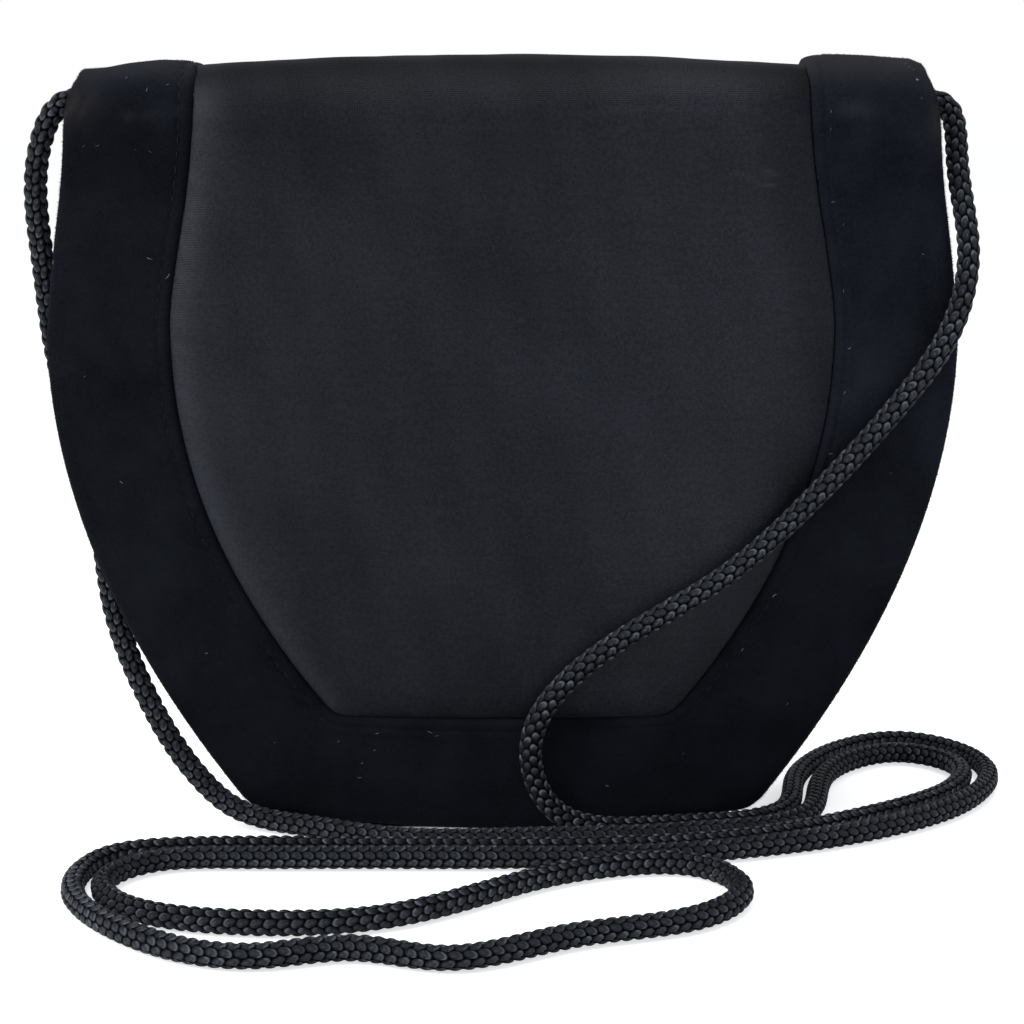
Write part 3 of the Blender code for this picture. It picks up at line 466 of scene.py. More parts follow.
# Velvet border: black cotton velvet, cut as a U and turned over the edge of the flap's card. Its two
# arms run over the top as straps. A line of stitching lies 3 mm outside the satin.

FLAP_END_Z = 156.0
SATIN_BOTTOM = 25.4
SATIN_CORNER_TOP = 28.2
SHOULDER_RADIUS = 14.0
FOLD_RADIUS = 4.3


def smoothstep(value, low, high):
    """0 up to low and 1 from high on, with t^2 (3 - 2 t) between them."""
    t = np.clip((value - low) / (high - low), 0.0, 1.0)
    return t * t * (3 - 2 * t)


def bulged_width(z, widest, peak, below, power_below, above, power_above):
    """Half-width at z: widest at peak, less below ((peak - z) / peak)^power under it, and
    less above ((z - peak) / (160.5 - peak))^power over it."""
    low = widest - below * np.clip((peak - z) / peak, 0, None) ** power_below
    high = widest - above * np.clip((z - peak) / (160.5 - peak), 0, 1) ** power_above
    return np.where(z < peak, low, high)


def flap_half_width(z):
    """Half of the flap's width at z."""
    return bulged_width(np.asarray(z, float), 94.4, 103.0, 43.1, 1.95, 8.3, 1.3)


def satin_half_width(z):
    """Half of the satin's width at z. Near the top it is moved in a little, and out on the straps."""
    z = np.asarray(z, float)
    heights = (112, 125, 131, 139, 147, 152, 158, 168)
    moved = np.interp(z, heights, (0, -0.5, -0.8, -0.85, -0.6, -0.1, 1.0, 1.8))
    return bulged_width(z, 67.8, 107.0, 59.0, 2.15, 7.5, 1.2) + moved


def flap_profile():
    """Side profile of the flap's outer face as (y, z): up the front, round the shoulder of radius 14,
    over the top and round the back fold of radius 4.3."""
    front = np.array([[-22.0, 0.0], [-18.5, 146.5]])
    a = np.radians(np.linspace(180, 90, 60))
    shoulder = [-4.5, 146.5] + SHOULDER_RADIUS * np.stack([np.cos(a), np.sin(a)], axis=1)
    a = np.radians(np.linspace(90, 0, 30))
    back = [8.7, 156.2] + FOLD_RADIUS * np.stack([np.cos(a), np.sin(a)], axis=1)
    return np.concatenate([front, shoulder[1:], back, [[13.0, FLAP_END_Z]]])


PROFILE = flap_profile()
PROFILE_REACH = np.concatenate([[0.0], np.cumsum(np.linalg.norm(np.diff(PROFILE, axis=0), axis=1))])
FLAP_END = float(PROFILE_REACH[-1])
SHOULDER_START = float(PROFILE_REACH[1])
SHOULDER_END = SHOULDER_START + SHOULDER_RADIUS * math.pi / 2
BACK_FOLD_START = FLAP_END - FOLD_RADIUS * math.pi / 2 - 0.2


def bow(x, reach):
    """The front is bent back by 7.5 (x / half-width)^2, fading out over the shoulder."""
    in_front = 1 - smoothstep(reach, SHOULDER_START - 16, SHOULDER_START + 12)
    return 7.5 * (x / flap_half_width(reach)) ** 2 * in_front


def flap_point(x, reach, depth):
    """Points of the flap in mm: x across, reach up its outer face, depth in from that face."""
    x, reach, depth = np.broadcast_arrays(x, reach, depth)

    def read(r, k):
        return np.interp(r, PROFILE_REACH, PROFILE[:, k])

    ahead = np.minimum(reach + 0.5, FLAP_END)
    behind = np.maximum(reach - 0.5, 0.0)
    dy = read(ahead, 0) - read(behind, 0)
    dz = read(ahead, 1) - read(behind, 1)
    size = np.hypot(dy, dz)
    y = read(reach, 0) + dz / size * depth + bow(x, reach)
    z = read(reach, 1) - dy / size * depth
    on_roof = smoothstep(reach, SHOULDER_START, SHOULDER_END) - smoothstep(reach, BACK_FOLD_START, FLAP_END)
    z = z - (x / flap_half_width(reach)) ** 2 * on_roof
    below = np.minimum(reach, 0.0)
    return np.stack([x, y, z + below], axis=-1)


def flap_depth(reach):
    """Thickness of the whole flap: 5.8 in front, 3.4 over the top."""
    return 5.8 - 2.4 * smoothstep(reach, 138.0, SHOULDER_START + 4)


def wavy(a, b, seed):
    """Slow unevenness from -1 to 1, a sum of four sine waves of different length and direction."""
    random = np.random.default_rng(seed)
    total = 0.0
    for size in (41.0, 27.0, 17.0, 11.0):
        turn = random.uniform(0, 2 * math.pi)
        start = random.uniform(0, 2 * math.pi)
        total = total + np.sin((a * math.cos(turn) + b * math.sin(turn)) * 2 * math.pi / size + start) / 4
    return total


def corner_curve(before, corner, after, count):
    """Quadratic curve from before to after, pulled toward the corner."""
    t = np.linspace(0, 1, count)[:, None]
    before, corner, after = (np.asarray(p, float) for p in (before, corner, after))
    return (1 - t) ** 2 * before + 2 * t * (1 - t) * corner + t**2 * after


def velvet_rims():
    """Outer and inner rim of the right half of the U as (x, reach): bottom, corner, side and strap."""
    x = np.linspace(0, 50.5, 44)[:-1]
    outer_bottom = np.stack([x, 0.8 + 2.2 * (x / 54.0) ** 2], axis=1)
    lift = 0.8 + 2.2 * (50.5 / 54.0) ** 2
    side_start = 5.8
    outer_corner = corner_curve(
        (50.5, lift), (53.4, 2.85), (float(flap_half_width(side_start)), side_start), 9
    )
    z = np.linspace(side_start, FLAP_END, 170)[1:]
    outer_side = np.stack([flap_half_width(z), z], axis=1)
    edge = float(satin_half_width(SATIN_BOTTOM))
    x = np.linspace(0, edge - 3.4, 44)[:-1]
    inner_bottom = np.stack([x, np.full_like(x, SATIN_BOTTOM)], axis=1)
    inner_corner = corner_curve(
        (edge - 3.4, SATIN_BOTTOM),
        (edge - 0.2, SATIN_BOTTOM),
        (float(satin_half_width(SATIN_CORNER_TOP)), SATIN_CORNER_TOP),
        9,
    )
    z = np.linspace(SATIN_CORNER_TOP, FLAP_END, 170)[1:]
    inner_side = np.stack([satin_half_width(z), z], axis=1)
    outer = np.concatenate([outer_bottom, outer_corner, outer_side])
    inner = np.concatenate([inner_bottom, inner_corner, inner_side])
    return outer, inner


def both_halves(rim):
    """A right half's rim as the whole rim, from the left end to the right end."""
    left = rim[:0:-1] * np.array([-1.0, 1.0])
    return np.concatenate([left, rim])


def velvet_section(width, deep, thin):
    """Cross-section of the border as (distance from its outer rim, depth), a closed loop.

    With e the distance from the outer rim, the face is crowned by 0.5 sin(pi e / width). It sinks
    by 1.5 at the satin, and by 0.10 at the stitching, 3.1 from the satin, between two low ridges.
    Then it rolls over the rim on a half circle and comes back behind the card's edge.
    """
    steps = [[0.0, 0.35, 0.8, 1.4], np.linspace(2.0, 5.4, 14), np.linspace(6.2, width - 2.6, 16)]
    face = width - np.concatenate(steps)
    from_satin = width - face
    depth = -0.5 * np.sin(math.pi * face / width)
    depth -= 0.10 * np.exp(-(((from_satin - 2.0) / 0.8) ** 2))
    depth += 0.10 * np.exp(-(((from_satin - 3.1) / 0.4) ** 2))
    depth -= 0.06 * np.exp(-(((from_satin - 4.3) / 0.9) ** 2))
    depth += 1.5 * np.exp(-((from_satin / 0.6) ** 2))
    radius = deep / 2
    a = np.radians(np.linspace(80, -90, 13))
    rim = np.stack([radius * (1 - np.cos(a)), radius * (1 - np.sin(a))], axis=1)
    rim[:, 0] *= 0.9
    back = np.array([[3.5, deep], [3.9, thin], [width * 0.6, thin], [width - 0.1, thin]])
    return np.concatenate([np.stack([face, depth], axis=1), rim, back])


outer, inner = (both_halves(rim) for rim in velvet_rims())
across = inner - outer
width = np.linalg.norm(across, axis=1)
rows = []
for rim_width, whole in zip(width, flap_depth(outer[:, 1])):
    rows.append(velvet_section(rim_width, whole - 1.05, min(3.2, whole - 1.1)))
rows = np.array(rows)
x = outer[:, None, 0] + across[:, None, 0] * rows[..., 0] / width[:, None]
reach = outer[:, None, 1] + across[:, None, 1] * rows[..., 0] / width[:, None]
face_share = smoothstep(rows[..., 0], 0.5, 3.0) * (rows[..., 1] < 1.2)
depth = rows[..., 1] - 0.22 * wavy(x, reach, 3) * face_share
on_top = smoothstep(reach, SHOULDER_START, SHOULDER_END)
crown = 0.35 * np.sin(np.pi * np.clip(rows[..., 0] / width[:, None], 0, 1)) * (rows[..., 1] < 1.2)
depth = depth - crown * on_top
velvet_points = flap_point(x, reach, depth)

# Over the top the straps sag unevenly: roof_droop is how far, in mm, at each roof_x.
roof_x = (-88.0, -86.0, -80.5, -75.0, -69.0, -66.5, -63.5, 60.0, 63.0, 69.0, 77.6, 84.2, 86.5, 90.0)
roof_droop = (1.2, 1.15, 1.5, 0.86, 0.25, 0.4, 0.8, -0.3, -0.75, -0.75, -0.33, -0.6, 0.6, 0.8)
droop = np.mean([np.interp(x + shift, roof_x, roof_droop) for shift in (-1.2, -0.4, 0.4, 1.2)], axis=0)
velvet_points[..., 2] -= droop * on_top * (1 - smoothstep(reach, BACK_FOLD_START, FLAP_END))


def grid_mesh(name, points, closed_across=False, caps=False, hole=None):
    """Mesh from a grid of points in mm. The second index runs across and may close on itself.
    Faces with a point where hole is true are left out."""
    rows_n, cols_n = points.shape[:2]
    i = np.arange(rows_n - 1)[:, None] * cols_n
    j = np.arange(cols_n if closed_across else cols_n - 1)[None, :]
    k = (j + 1) % cols_n
    quads = np.stack([i + j, i + cols_n + j, i + cols_n + k, i + k], axis=-1).reshape(-1, 4)
    if hole is not None:
        quads = quads[~hole.reshape(-1)[quads].any(axis=1)]
    quads = quads.tolist()
    if caps:
        quads.append(list(range(cols_n)))
        quads.append(list(range(rows_n * cols_n - 1, (rows_n - 1) * cols_n - 1, -1)))
    mesh = mesh_in_mm(name, points, quads)
    mesh.shade_smooth()
    return mesh


def point_values(mesh, name, values):
    """Stores one number for each vertex, for a material to read."""
    attribute = mesh.attributes.new(name, "FLOAT", "POINT")
    attribute.data.foreach_set("value", np.asarray(values, np.float32).reshape(-1))


def weave_group():
    """Node group: height of a fine weave, from two crossed sets of slightly wavy threads."""
    group = bpy.data.node_groups.new("fine_weave", "ShaderNodeTree")
    group.interface.new_socket("Vector", in_out="INPUT", socket_type="NodeSocketVector")
    group.interface.new_socket("Threads", in_out="INPUT", socket_type="NodeSocketFloat")
    group.interface.new_socket("Height", in_out="OUTPUT", socket_type="NodeSocketFloat")
    given = group.nodes.new("NodeGroupInput")
    result = group.nodes.new("NodeGroupOutput")
    heights = []
    for direction, share in (("X", 0.5), ("Z", 0.9)):
        wave = group.nodes.new("ShaderNodeTexWave")
        wave.wave_type = "BANDS"
        wave.bands_direction = direction
        wave.inputs["Distortion"].default_value = 1.4
        wave.inputs["Detail"].default_value = 1.0
        wave.inputs["Detail Scale"].default_value = 0.4
        group.links.new(given.outputs["Vector"], wave.inputs["Vector"])
        group.links.new(given.outputs["Threads"], wave.inputs["Scale"])
        heights.append(add_math(group, "MULTIPLY", wave.outputs["Fac"], share))
    group.links.new(add_math(group, "ADD", *heights), result.inputs["Height"])
    return group


FINE_WEAVE = weave_group()


def stored_value(tree, name):
    """What point_values stored under the name."""
    node = tree.nodes.new("ShaderNodeAttribute")
    node.attribute_name = name
    return node.outputs["Fac"]


def add_scale(tree, colour, amount):
    """The colour made brighter or darker by the amount."""
    node = tree.nodes.new("ShaderNodeVectorMath")
    node.operation = "SCALE"
    tree.links.new(colour, node.inputs[0])
    tree.links.new(amount, node.inputs["Scale"])
    return node.outputs["Vector"]


def velvet_material(name):
    """Black pile: almost no gloss, a soft sheen seen edge-on, patches where the pile leans another
    way, and a browner, worn look where the attribute wear is high. A stored factor scales the
    colour, and it holds painted light."""
    material, tree, shader = new_finish(name)
    place = place_on_piece(tree)
    patches = add_noise(tree, place, 60.0, 5.0, 0.6)
    hairs = add_noise(tree, place, 1900.0, 2.0)
    pile = add_math(tree, "MULTIPLY_ADD", hairs, 0.55, patches)
    colour = add_ramp(tree, pile, 0.45, (0.0018, 0.0024, 0.0042), 1.05, (0.0085, 0.0102, 0.0150))
    # Painted light: the colour is scaled by the stored factor, which paints the roof's edge lighter as a
    # painted sheen.
    pile_with_painted_light = add_scale(tree, colour, stored_value(tree, "nap_and_painted_light"))
    worn = add_mix(tree, stored_value(tree, "wear"), pile_with_painted_light, (0.038, 0.034, 0.036, 1.0))
    tree.links.new(worn, shader.inputs["Base Color"])
    add_bump(tree, shader, pile, 0.7, 0.0004)
    shader.inputs["Roughness"].default_value = 0.95
    shader.inputs["Specular IOR Level"].default_value = 0.06
    shader.inputs["Sheen Weight"].default_value = 0.030
    shader.inputs["Sheen Roughness"].default_value = 0.35
    shader.inputs["Sheen Tint"].default_value = (0.78, 0.82, 1.0, 1.0)
    return material


def velvet_looks(mesh, points):
    """Sets a factor on the colour that holds painted light, and wear.

    The right arm is made lighter than the left, the bottom a little lighter, and three small marks
    lighter. The roof's edge is painted lighter than both arms, a painted sheen where the top catches
    the light. The velvet is worn along that edge and where the cord rubs it near the top corners.
    Each mark is exp(-(x / wide)^2 - (z / high)^2) from its middle.
    """
    x = points[..., 0].reshape(-1)
    z = points[..., 2].reshape(-1)
    # Painted light: the roof's edge is painted lighter as a painted sheen; the right arm, the bottom and
    # three marks are made lighter.
    nap_and_painted_light = 0.90 + 0.60 * smoothstep(x, 20, 75) * smoothstep(z, 30, 100) + 0.15 * (1 - smoothstep(z, 4, 40))
    nap_and_painted_light += 0.5 * smoothstep(z, 152.5, 159.5) * (1 - 0.6 * smoothstep(x, 0, 60)) + 0.05 * wavy(x, z, 8)
    for mark_x, mark_z, size, strength in (
        (-68.6, 149.0, 3.4, 0.9),
        (70.2, 150.6, 3.0, 0.8),
        (71.0, 92.0, 2.0, 0.5),
    ):
        nap_and_painted_light += strength * np.exp(-(((x - mark_x) / size) ** 2) - (((z - mark_z) / (size * 0.6)) ** 2))
    wear = 0.22 * smoothstep(z, 154.5, 160.0) + 0.12 * smoothstep(z, 153.0, 159.0) * (x > 0)
    for mark_x, mark_z, wide, high, strength in (
        (-87.5, 151.5, 5, 5, 0.7),
        (-73.5, 148.8, 3.2, 1.0, 0.35),
        (90.0, 150.0, 4, 7, 0.7),
        (71.5, 149.5, 4, 1.5, 0.28),
    ):
        mark = np.exp(-(((x - mark_x) / wide) ** 2) - ((z - mark_z) / high) ** 2)
        wear += strength * mark * (0.7 + 0.6 * wavy(x * 4, z * 4, 5))
    point_values(mesh, "nap_and_painted_light", nap_and_painted_light)
    point_values(mesh, "wear", np.clip(wear, 0, 1))


velvet_mesh = grid_mesh("velvet_cover", velvet_points, closed_across=True, caps=True)
velvet_looks(velvet_mesh, velvet_points)
velvet = new_piece("velvet_cover", velvet_mesh, velvet_material("black_pile"))
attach(velvet, "flap")
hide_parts("velvet_border")

# Pile: the velvet's own cotton hairs, woven into its ground. They stand about 0.4 mm out of the
# cloth, three in four of them round the border's outer rim, where they blur its outline.


def hair_mesh(name, roots, normals, lengths, thickness, seed):
    """One thin triangle for each hair, standing on its root and leaning a little at random."""
    random = np.random.default_rng(seed)
    count = len(roots)
    lean = random.normal(0, 0.38, (count, 3))
    tip = normals + lean
    tip /= np.linalg.norm(tip, axis=1)[:, None]
    flat = np.cross(tip, random.normal(0, 1, (count, 3)))
    flat /= np.linalg.norm(flat, axis=1)[:, None]
    base = roots - normals * 0.1
    points = np.stack(
        [base - flat * thickness / 2, base + flat * thickness / 2, base + tip * lengths[:, None]], axis=1
    )
    return mesh_in_mm(name, points, np.arange(3 * count).reshape(-1, 3).tolist()), points


random = np.random.default_rng(21)
normal_store = np.zeros(len(velvet_mesh.vertices) * 3)
velvet_mesh.vertices.foreach_get("normal", normal_store)
normals = normal_store.reshape(velvet_points.shape)
if np.mean(normals[:, 24, 1]) > 0:
    normals = -normals
count = 44000
stations = random.uniform(0, velvet_points.shape[0] - 1.001, count)
on_rim = random.uniform(0, 1, count) < 0.75
places = np.where(on_rim, random.uniform(32, 43, count), random.uniform(4, 34, count))
i, j = stations.astype(int), places.astype(int)
a, b = (stations - i)[:, None], (places - j)[:, None]
roots = (velvet_points[i, j] * (1 - b) + velvet_points[i, j + 1] * b) * (1 - a)
roots = roots + velvet_points[i + 1, j] * a * (1 - b)
roots = roots + velvet_points[i + 1, j + 1] * a * b
lengths = np.clip(random.normal(0.44, 0.16, count), 0.12, 0.85) * np.where(roots[:, 2] > 153.0, 0.7, 1.0)
pile_mesh, pile_points = hair_mesh("velvet_pile", roots, normals[i, j], lengths, 0.085, 4)
velvet_looks(pile_mesh, pile_points)
pile = new_piece("velvet_pile", pile_mesh, velvet_material("black_pile_hair"))
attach(pile, "flap")

# Satin panel: black duchesse satin drawn over wadding, so that it stands proud of the velvet, with
# shallow pulls along its seam and creases where it bends over the top.


def satin_material(name, base, weave, roughness):
    """Black satin: a soft broad gleam, threads finer than a quarter of a millimetre, faint slubs,
    pale marks where the attribute scuff is high, and a stored factor on colour and gloss that holds
    random tone and, on the flap's satin, painted highlight and painted shade."""
    material, tree, shader = new_finish(name)
    place = place_on_piece(tree)
    threads = tree.nodes.new("ShaderNodeGroup")
    threads.node_tree = FINE_WEAVE
    threads.inputs["Threads"].default_value = weave
    tree.links.new(place, threads.inputs["Vector"])
    stretched = tree.nodes.new("ShaderNodeMapping")
    stretched.inputs["Scale"].default_value = (55.0, 55.0, 900.0)
    tree.links.new(place, stretched.inputs["Vector"])
    slub = add_noise(tree, stretched.outputs["Vector"], 1.0, 3.0)
    cloud = add_noise(tree, place, 35.0, 4.0)
    grain = add_noise(tree, place, 1500.0, 2.0, 0.7)
    speckled = add_math(tree, "MULTIPLY_ADD", grain, 2.6, add_math(tree, "MULTIPLY_ADD", slub, 0.4, cloud))
    amount = add_range(tree, speckled, 1.6, 2.4)
    colour = add_ramp(tree, amount, 0.0, [c * 0.60 for c in base], 1.0, [c * 1.45 for c in base])
    # The stored tone holds random tone and, on the flap's satin, painted highlight and painted shade.
    tone_and_painted_light = stored_value(tree, "tone_and_painted_light")
    toned_with_painted_light = add_scale(tree, colour, tone_and_painted_light)
    marked = add_mix(tree, stored_value(tree, "scuff"), toned_with_painted_light, (0.085, 0.085, 0.092, 1.0))
    tree.links.new(marked, shader.inputs["Base Color"])
    tree.links.new(add_math(tree, "MULTIPLY", tone_and_painted_light, 0.17), shader.inputs["Specular IOR Level"])
    height = add_math(tree, "MULTIPLY_ADD", slub, 0.8, threads.outputs["Height"])
    add_bump(tree, shader, height, 0.32, 0.00012)
    shader.inputs["Roughness"].default_value = roughness
    shader.inputs["Sheen Weight"].default_value = 0.012
    shader.inputs["Sheen Roughness"].default_value = 0.5
    return material


def satin_values(mesh, tone_and_painted_light, scuff=0.0):
    """Stores the tone, with any painted light, and the scuffs of a satin or lining at each of its points.
    """
    point_values(mesh, "scuff", np.broadcast_to(scuff, tone_and_painted_light.shape))
    point_values(mesh, "tone_and_painted_light", tone_and_painted_light)


def satin_depth(x, reach):
    """Depth of the satin's face: 0.9 at its rim and 1.6 proud in the middle of the front. Over the
    top it is -0.2 + 1.9 (x / 67.8)^2, so that it sinks toward the straps.

    With e the distance from the rim, the puff is 2.5 (1 - exp(-e / s)), where s is 4 on the left
    and grows to 5.6 on the right. Pulls from the seam are waves along the rim that die out as
    exp(-e / 7). Creases lie across the shoulder.
    """
    e = np.minimum(satin_half_width(reach) - np.abs(x), reach - SATIN_BOTTOM)
    e = np.maximum(e, 0.0)
    over = smoothstep(reach, SHOULDER_START, SHOULDER_END)
    softness = 4.0 + 1.6 * smoothstep(x, 0.0, 40.0)
    depth = 0.9 - 2.5 * (1 - np.exp(-e / softness))
    depth = depth + (-0.2 + 1.9 * (x / 67.8) ** 2 - depth) * over
    along = reach * np.sign(x) + np.abs(x) * 0.6
    pulls = np.sin(along * 2 * math.pi / 8.5 + 1.3 * np.sin(along / 13.0)) * 0.5
    pulls = pulls + np.sin(along * 2 * math.pi / 5.2 + 0.7) * 0.3
    depth = depth - 0.13 * pulls * np.exp(-e / 7.0) * smoothstep(e, 0.0, 1.2)
    depth = depth - 0.22 * wavy(x, reach, 12) * smoothstep(e, 2.0, 20.0)
    for height, strength, middle, spread in (
        (144.3, 0.24, -49.0, 8.0),
        (141.2, 0.12, -30.0, 24.0),
        (146.6, 0.16, 0.0, 48.0),
        (149.8, 0.12, 30.0, 30.0),
    ):
        line = height + 0.9 * np.sin(x / 14.0 + height)
        fade = np.exp(-(((x - middle) / spread) ** 2))
        depth = depth + strength * fade * np.exp(-(((reach - line) / 0.9) ** 2))
    return depth


def crowded_steps(count):
    """Places from -1 to 1 that lie closer toward both ends, where each end counts twice."""
    u = np.sin(np.linspace(-1, 1, count) * math.pi / 2)
    return np.concatenate([[-1.0], u, [1.0]])


def satin_grid(columns, rows_n, under):
    """Grid of (x, reach, depth) whose outer rows and columns turn under the rim by under mm."""
    v = np.concatenate([[0.0, 0.0], np.linspace(0, 1, rows_n)[1:]])
    share = np.where(v < 0.12, v**1.6 / 0.12**0.6, v)
    u = crowded_steps(columns)
    reach = np.repeat((SATIN_BOTTOM + (FLAP_END - SATIN_BOTTOM) * share)[:, None], len(u), axis=1)
    edge = satin_half_width(reach) - 0.15
    corner = np.sqrt(np.clip(1 - np.clip(1 - (reach - SATIN_BOTTOM) / 2.8, 0, 1) ** 2, 0, 1))
    x = u[None, :] * (edge - 3.0 * (1 - corner))
    depth = satin_depth(x, reach)
    depth[:, 0] = depth[:, -1] = under
    depth[0, :] = under
    return x, reach, depth


x, reach, depth = satin_grid(150, 230, 2.2)
satin_points = flap_point(x, reach, depth)
satin_mesh = grid_mesh("satin_cover", satin_points)
scuff = np.zeros(x.shape)
random = np.random.default_rng(9)
for _ in range(9):
    cx, cr = random.uniform(47, 55), random.uniform(134, 138)
    turn = random.uniform(-0.4, 0.1)
    a = (x - cx) * math.cos(turn) + (reach - cr) * math.sin(turn)
    b = -(x - cx) * math.sin(turn) + (reach - cr) * math.cos(turn)
    scuff += 0.10 * np.exp(-((a / 1.5) ** 2) - (b / 0.35) ** 2)
edge = satin_half_width(reach)
from_left = (x + edge) / 4.2
from_right = (edge - x) / 5.5
# Painted light: a painted highlight along the left edge, where the puffed satin faces the left lamp, and
# painted shade along the right edge, where it turns away. The satin is made lighter over the right half and
# darker on the left and toward the top, with random tone, and over the top it is painted up to 60 % darker
# as painted shade.
tone_and_painted_light = 1 + 0.45 * np.exp(-((from_left - 0.3) ** 2)) - 0.10 * np.exp(-(from_right**2))
tone_and_painted_light = tone_and_painted_light - 0.08 * smoothstep(-x, 20.0, 45.0)
tone_and_painted_light = tone_and_painted_light + 0.30 * smoothstep(x, 5.0, 40.0) * smoothstep(edge - x, 2.0, 16.0)
tone_and_painted_light = tone_and_painted_light + 0.14 * wavy(x, reach * 0.7, 31) - 0.08 * smoothstep(reach, 128.0, 142.0)
tone_and_painted_light = tone_and_painted_light * (1 - 0.60 * smoothstep(reach, 147.0, 162.0))
satin_values(satin_mesh, tone_and_painted_light, np.clip(scuff, 0, 1))
satin_finish = satin_material("black_satin", (0.0078, 0.0090, 0.0142), 900.0, 0.52)
satin = new_piece("satin_cover", satin_mesh, satin_finish)
satin_wall = satin.modifiers.new("wall", "SOLIDIFY")
satin_wall.thickness = 0.5 * MM
satin_wall.offset = -1.0
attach(satin, "flap")
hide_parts("satin_panel")

# Flap lining: black lining cloth felled to the velvet's turned edge all round, with small
# stitches. It is smooth over the card and runs over the top to the back seam.


def cloth_wall(piece, thickness):
    """Gives a cloth its thickness in mm, half to each side."""
    wall = piece.modifiers.new("wall", "SOLIDIFY")
    wall.thickness = thickness * MM
    wall.offset = 0.0


LINING_BOTTOM = 4.3
LINING_BLACK = (0.0085, 0.0090, 0.0115)
v = np.concatenate([[0.0], np.linspace(0.0, 1.0, 170)])
u = crowded_steps(130)
reach = np.repeat(LINING_BOTTOM + (FLAP_END - LINING_BOTTOM) * v[:, None], len(u), axis=1)
half = flap_half_width(reach) - 1.5
x = u[None, :] * (half - 2.2 * (1 - smoothstep(reach, LINING_BOTTOM, 7.5)) ** 2)
e = np.minimum(half - np.abs(x), reach - LINING_BOTTOM)
depth = flap_depth(reach) - 0.30 - 0.45 * np.exp(-(e / 0.7)) - 0.14 * wavy(x, reach, 41)
along = reach * np.sign(x)
depth = depth - 0.05 * np.sin(along * 2 * math.pi / 3.0) * np.exp(-e / 2.5)
depth[:, 0] = depth[:, -1] = flap_depth(reach[:, 0]) - 1.1
depth[0, :] = flap_depth(LINING_BOTTOM) - 1.1
lining_mesh = grid_mesh("flap_lining_cloth", flap_point(x, reach, depth))
satin_values(lining_mesh, 1 + 0.12 * wavy(x, reach, 42))
lining_finish = satin_material("black_lining", LINING_BLACK, 1200.0, 0.6)
flap_lining = new_piece("flap_lining_cloth", lining_mesh, lining_finish)
cloth_wall(flap_lining, 0.4)
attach(flap_lining, "flap")
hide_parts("flap_lining")

# Stitches: black polyester thread. Small felling stitches hold the flap's lining, and a straight
# row runs along the velvet, 3 mm outside the satin.


def stitch_mesh(name, path, outward, pitch, length, radius):
    """Row of stitches along a path in mm, each a spindle bent up out of the cloth.

    At share t of a stitch its middle stands 0.9 r sin(pi t) above the path and its radius is
    r sqrt(sin(pi t)), no less than 0.3 r.
    """
    reach = np.concatenate([[0.0], np.cumsum(np.linalg.norm(np.diff(path, axis=0), axis=1))])
    start = np.arange(0.5 * pitch, reach[-1] - length, pitch)
    t = np.linspace(0, 1, 6)
    at = start[:, None] + length * t[None, :]
    middle = np.stack([np.interp(at, reach, path[:, k]) for k in range(3)], axis=-1)
    normal = np.stack([np.interp(at, reach, outward[:, k]) for k in range(3)], axis=-1)
    normal /= np.linalg.norm(normal, axis=-1)[..., None]
    tangent = middle[:, -1:] - middle[:, :1]
    tangent = tangent / np.linalg.norm(tangent, axis=-1)[..., None]
    side = np.cross(np.broadcast_to(tangent, normal.shape), normal)
    lift = np.sin(math.pi * t)[None, :, None]
    middle = middle + normal * radius * 0.9 * lift
    size = radius * np.maximum(np.sqrt(lift), 0.3)[..., None]
    a = np.arange(6) * math.pi / 3
    ring = np.cos(a)[:, None] * side[:, :, None] + np.sin(a)[:, None] * normal[:, :, None]
    points = middle[:, :, None] + ring * size
    i = (np.arange(len(start)) * 36)[:, None, None]
    j = (np.arange(5) * 6)[None, :, None]
    k = np.arange(6)[None, None, :]
    n = (k + 1) % 6
    quads = np.stack([i + j + k, i + j + n, i + j + 6 + n, i + j + 6 + k], axis=-1).reshape(-1, 4)
    mesh = mesh_in_mm(name, points, quads.tolist())
    mesh.shade_smooth()
    return mesh


def thread_material(name, base):
    """Twisted thread: fine diagonal ridges and a dull gleam."""
    material, tree, shader = new_finish(name)
    twist = tree.nodes.new("ShaderNodeTexWave")
    twist.bands_direction = "DIAGONAL"
    twist.inputs["Scale"].default_value = 2600.0
    twist.inputs["Distortion"].default_value = 1.0
    tree.links.new(place_on_piece(tree), twist.inputs["Vector"])
    ridges = twist.outputs["Fac"]
    colour = add_ramp(tree, ridges, 0.0, [c * 0.5 for c in base], 1.0, [c * 1.3 for c in base])
    tree.links.new(colour, shader.inputs["Base Color"])
    add_bump(tree, shader, ridges, 0.5, 0.0001)
    shader.inputs["Roughness"].default_value = 0.55
    shader.inputs["Specular IOR Level"].default_value = 0.25
    return material


reach = np.concatenate([np.full(40, 4.6), np.linspace(4.8, FLAP_END - 3, 300)])
bottom_x = np.linspace(0, float(flap_half_width(4.6)) - 3.4, 40)
x = np.concatenate([bottom_x, flap_half_width(reach[40:]) - 1.7])
fell = both_halves(np.stack([x, reach], axis=1))
fell_path = flap_point(fell[:, 0], fell[:, 1], flap_depth(fell[:, 1]) - 0.42)
fell_out = fell_path - flap_point(fell[:, 0], fell[:, 1], flap_depth(fell[:, 1]) - 1.42)
felling = new_piece(
    "felling_stitches",
    stitch_mesh("felling_stitches", fell_path, fell_out, 2.6, 1.5, 0.16),
    thread_material("black_felling_thread", (0.018, 0.018, 0.021)),
)
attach(felling, "flap")

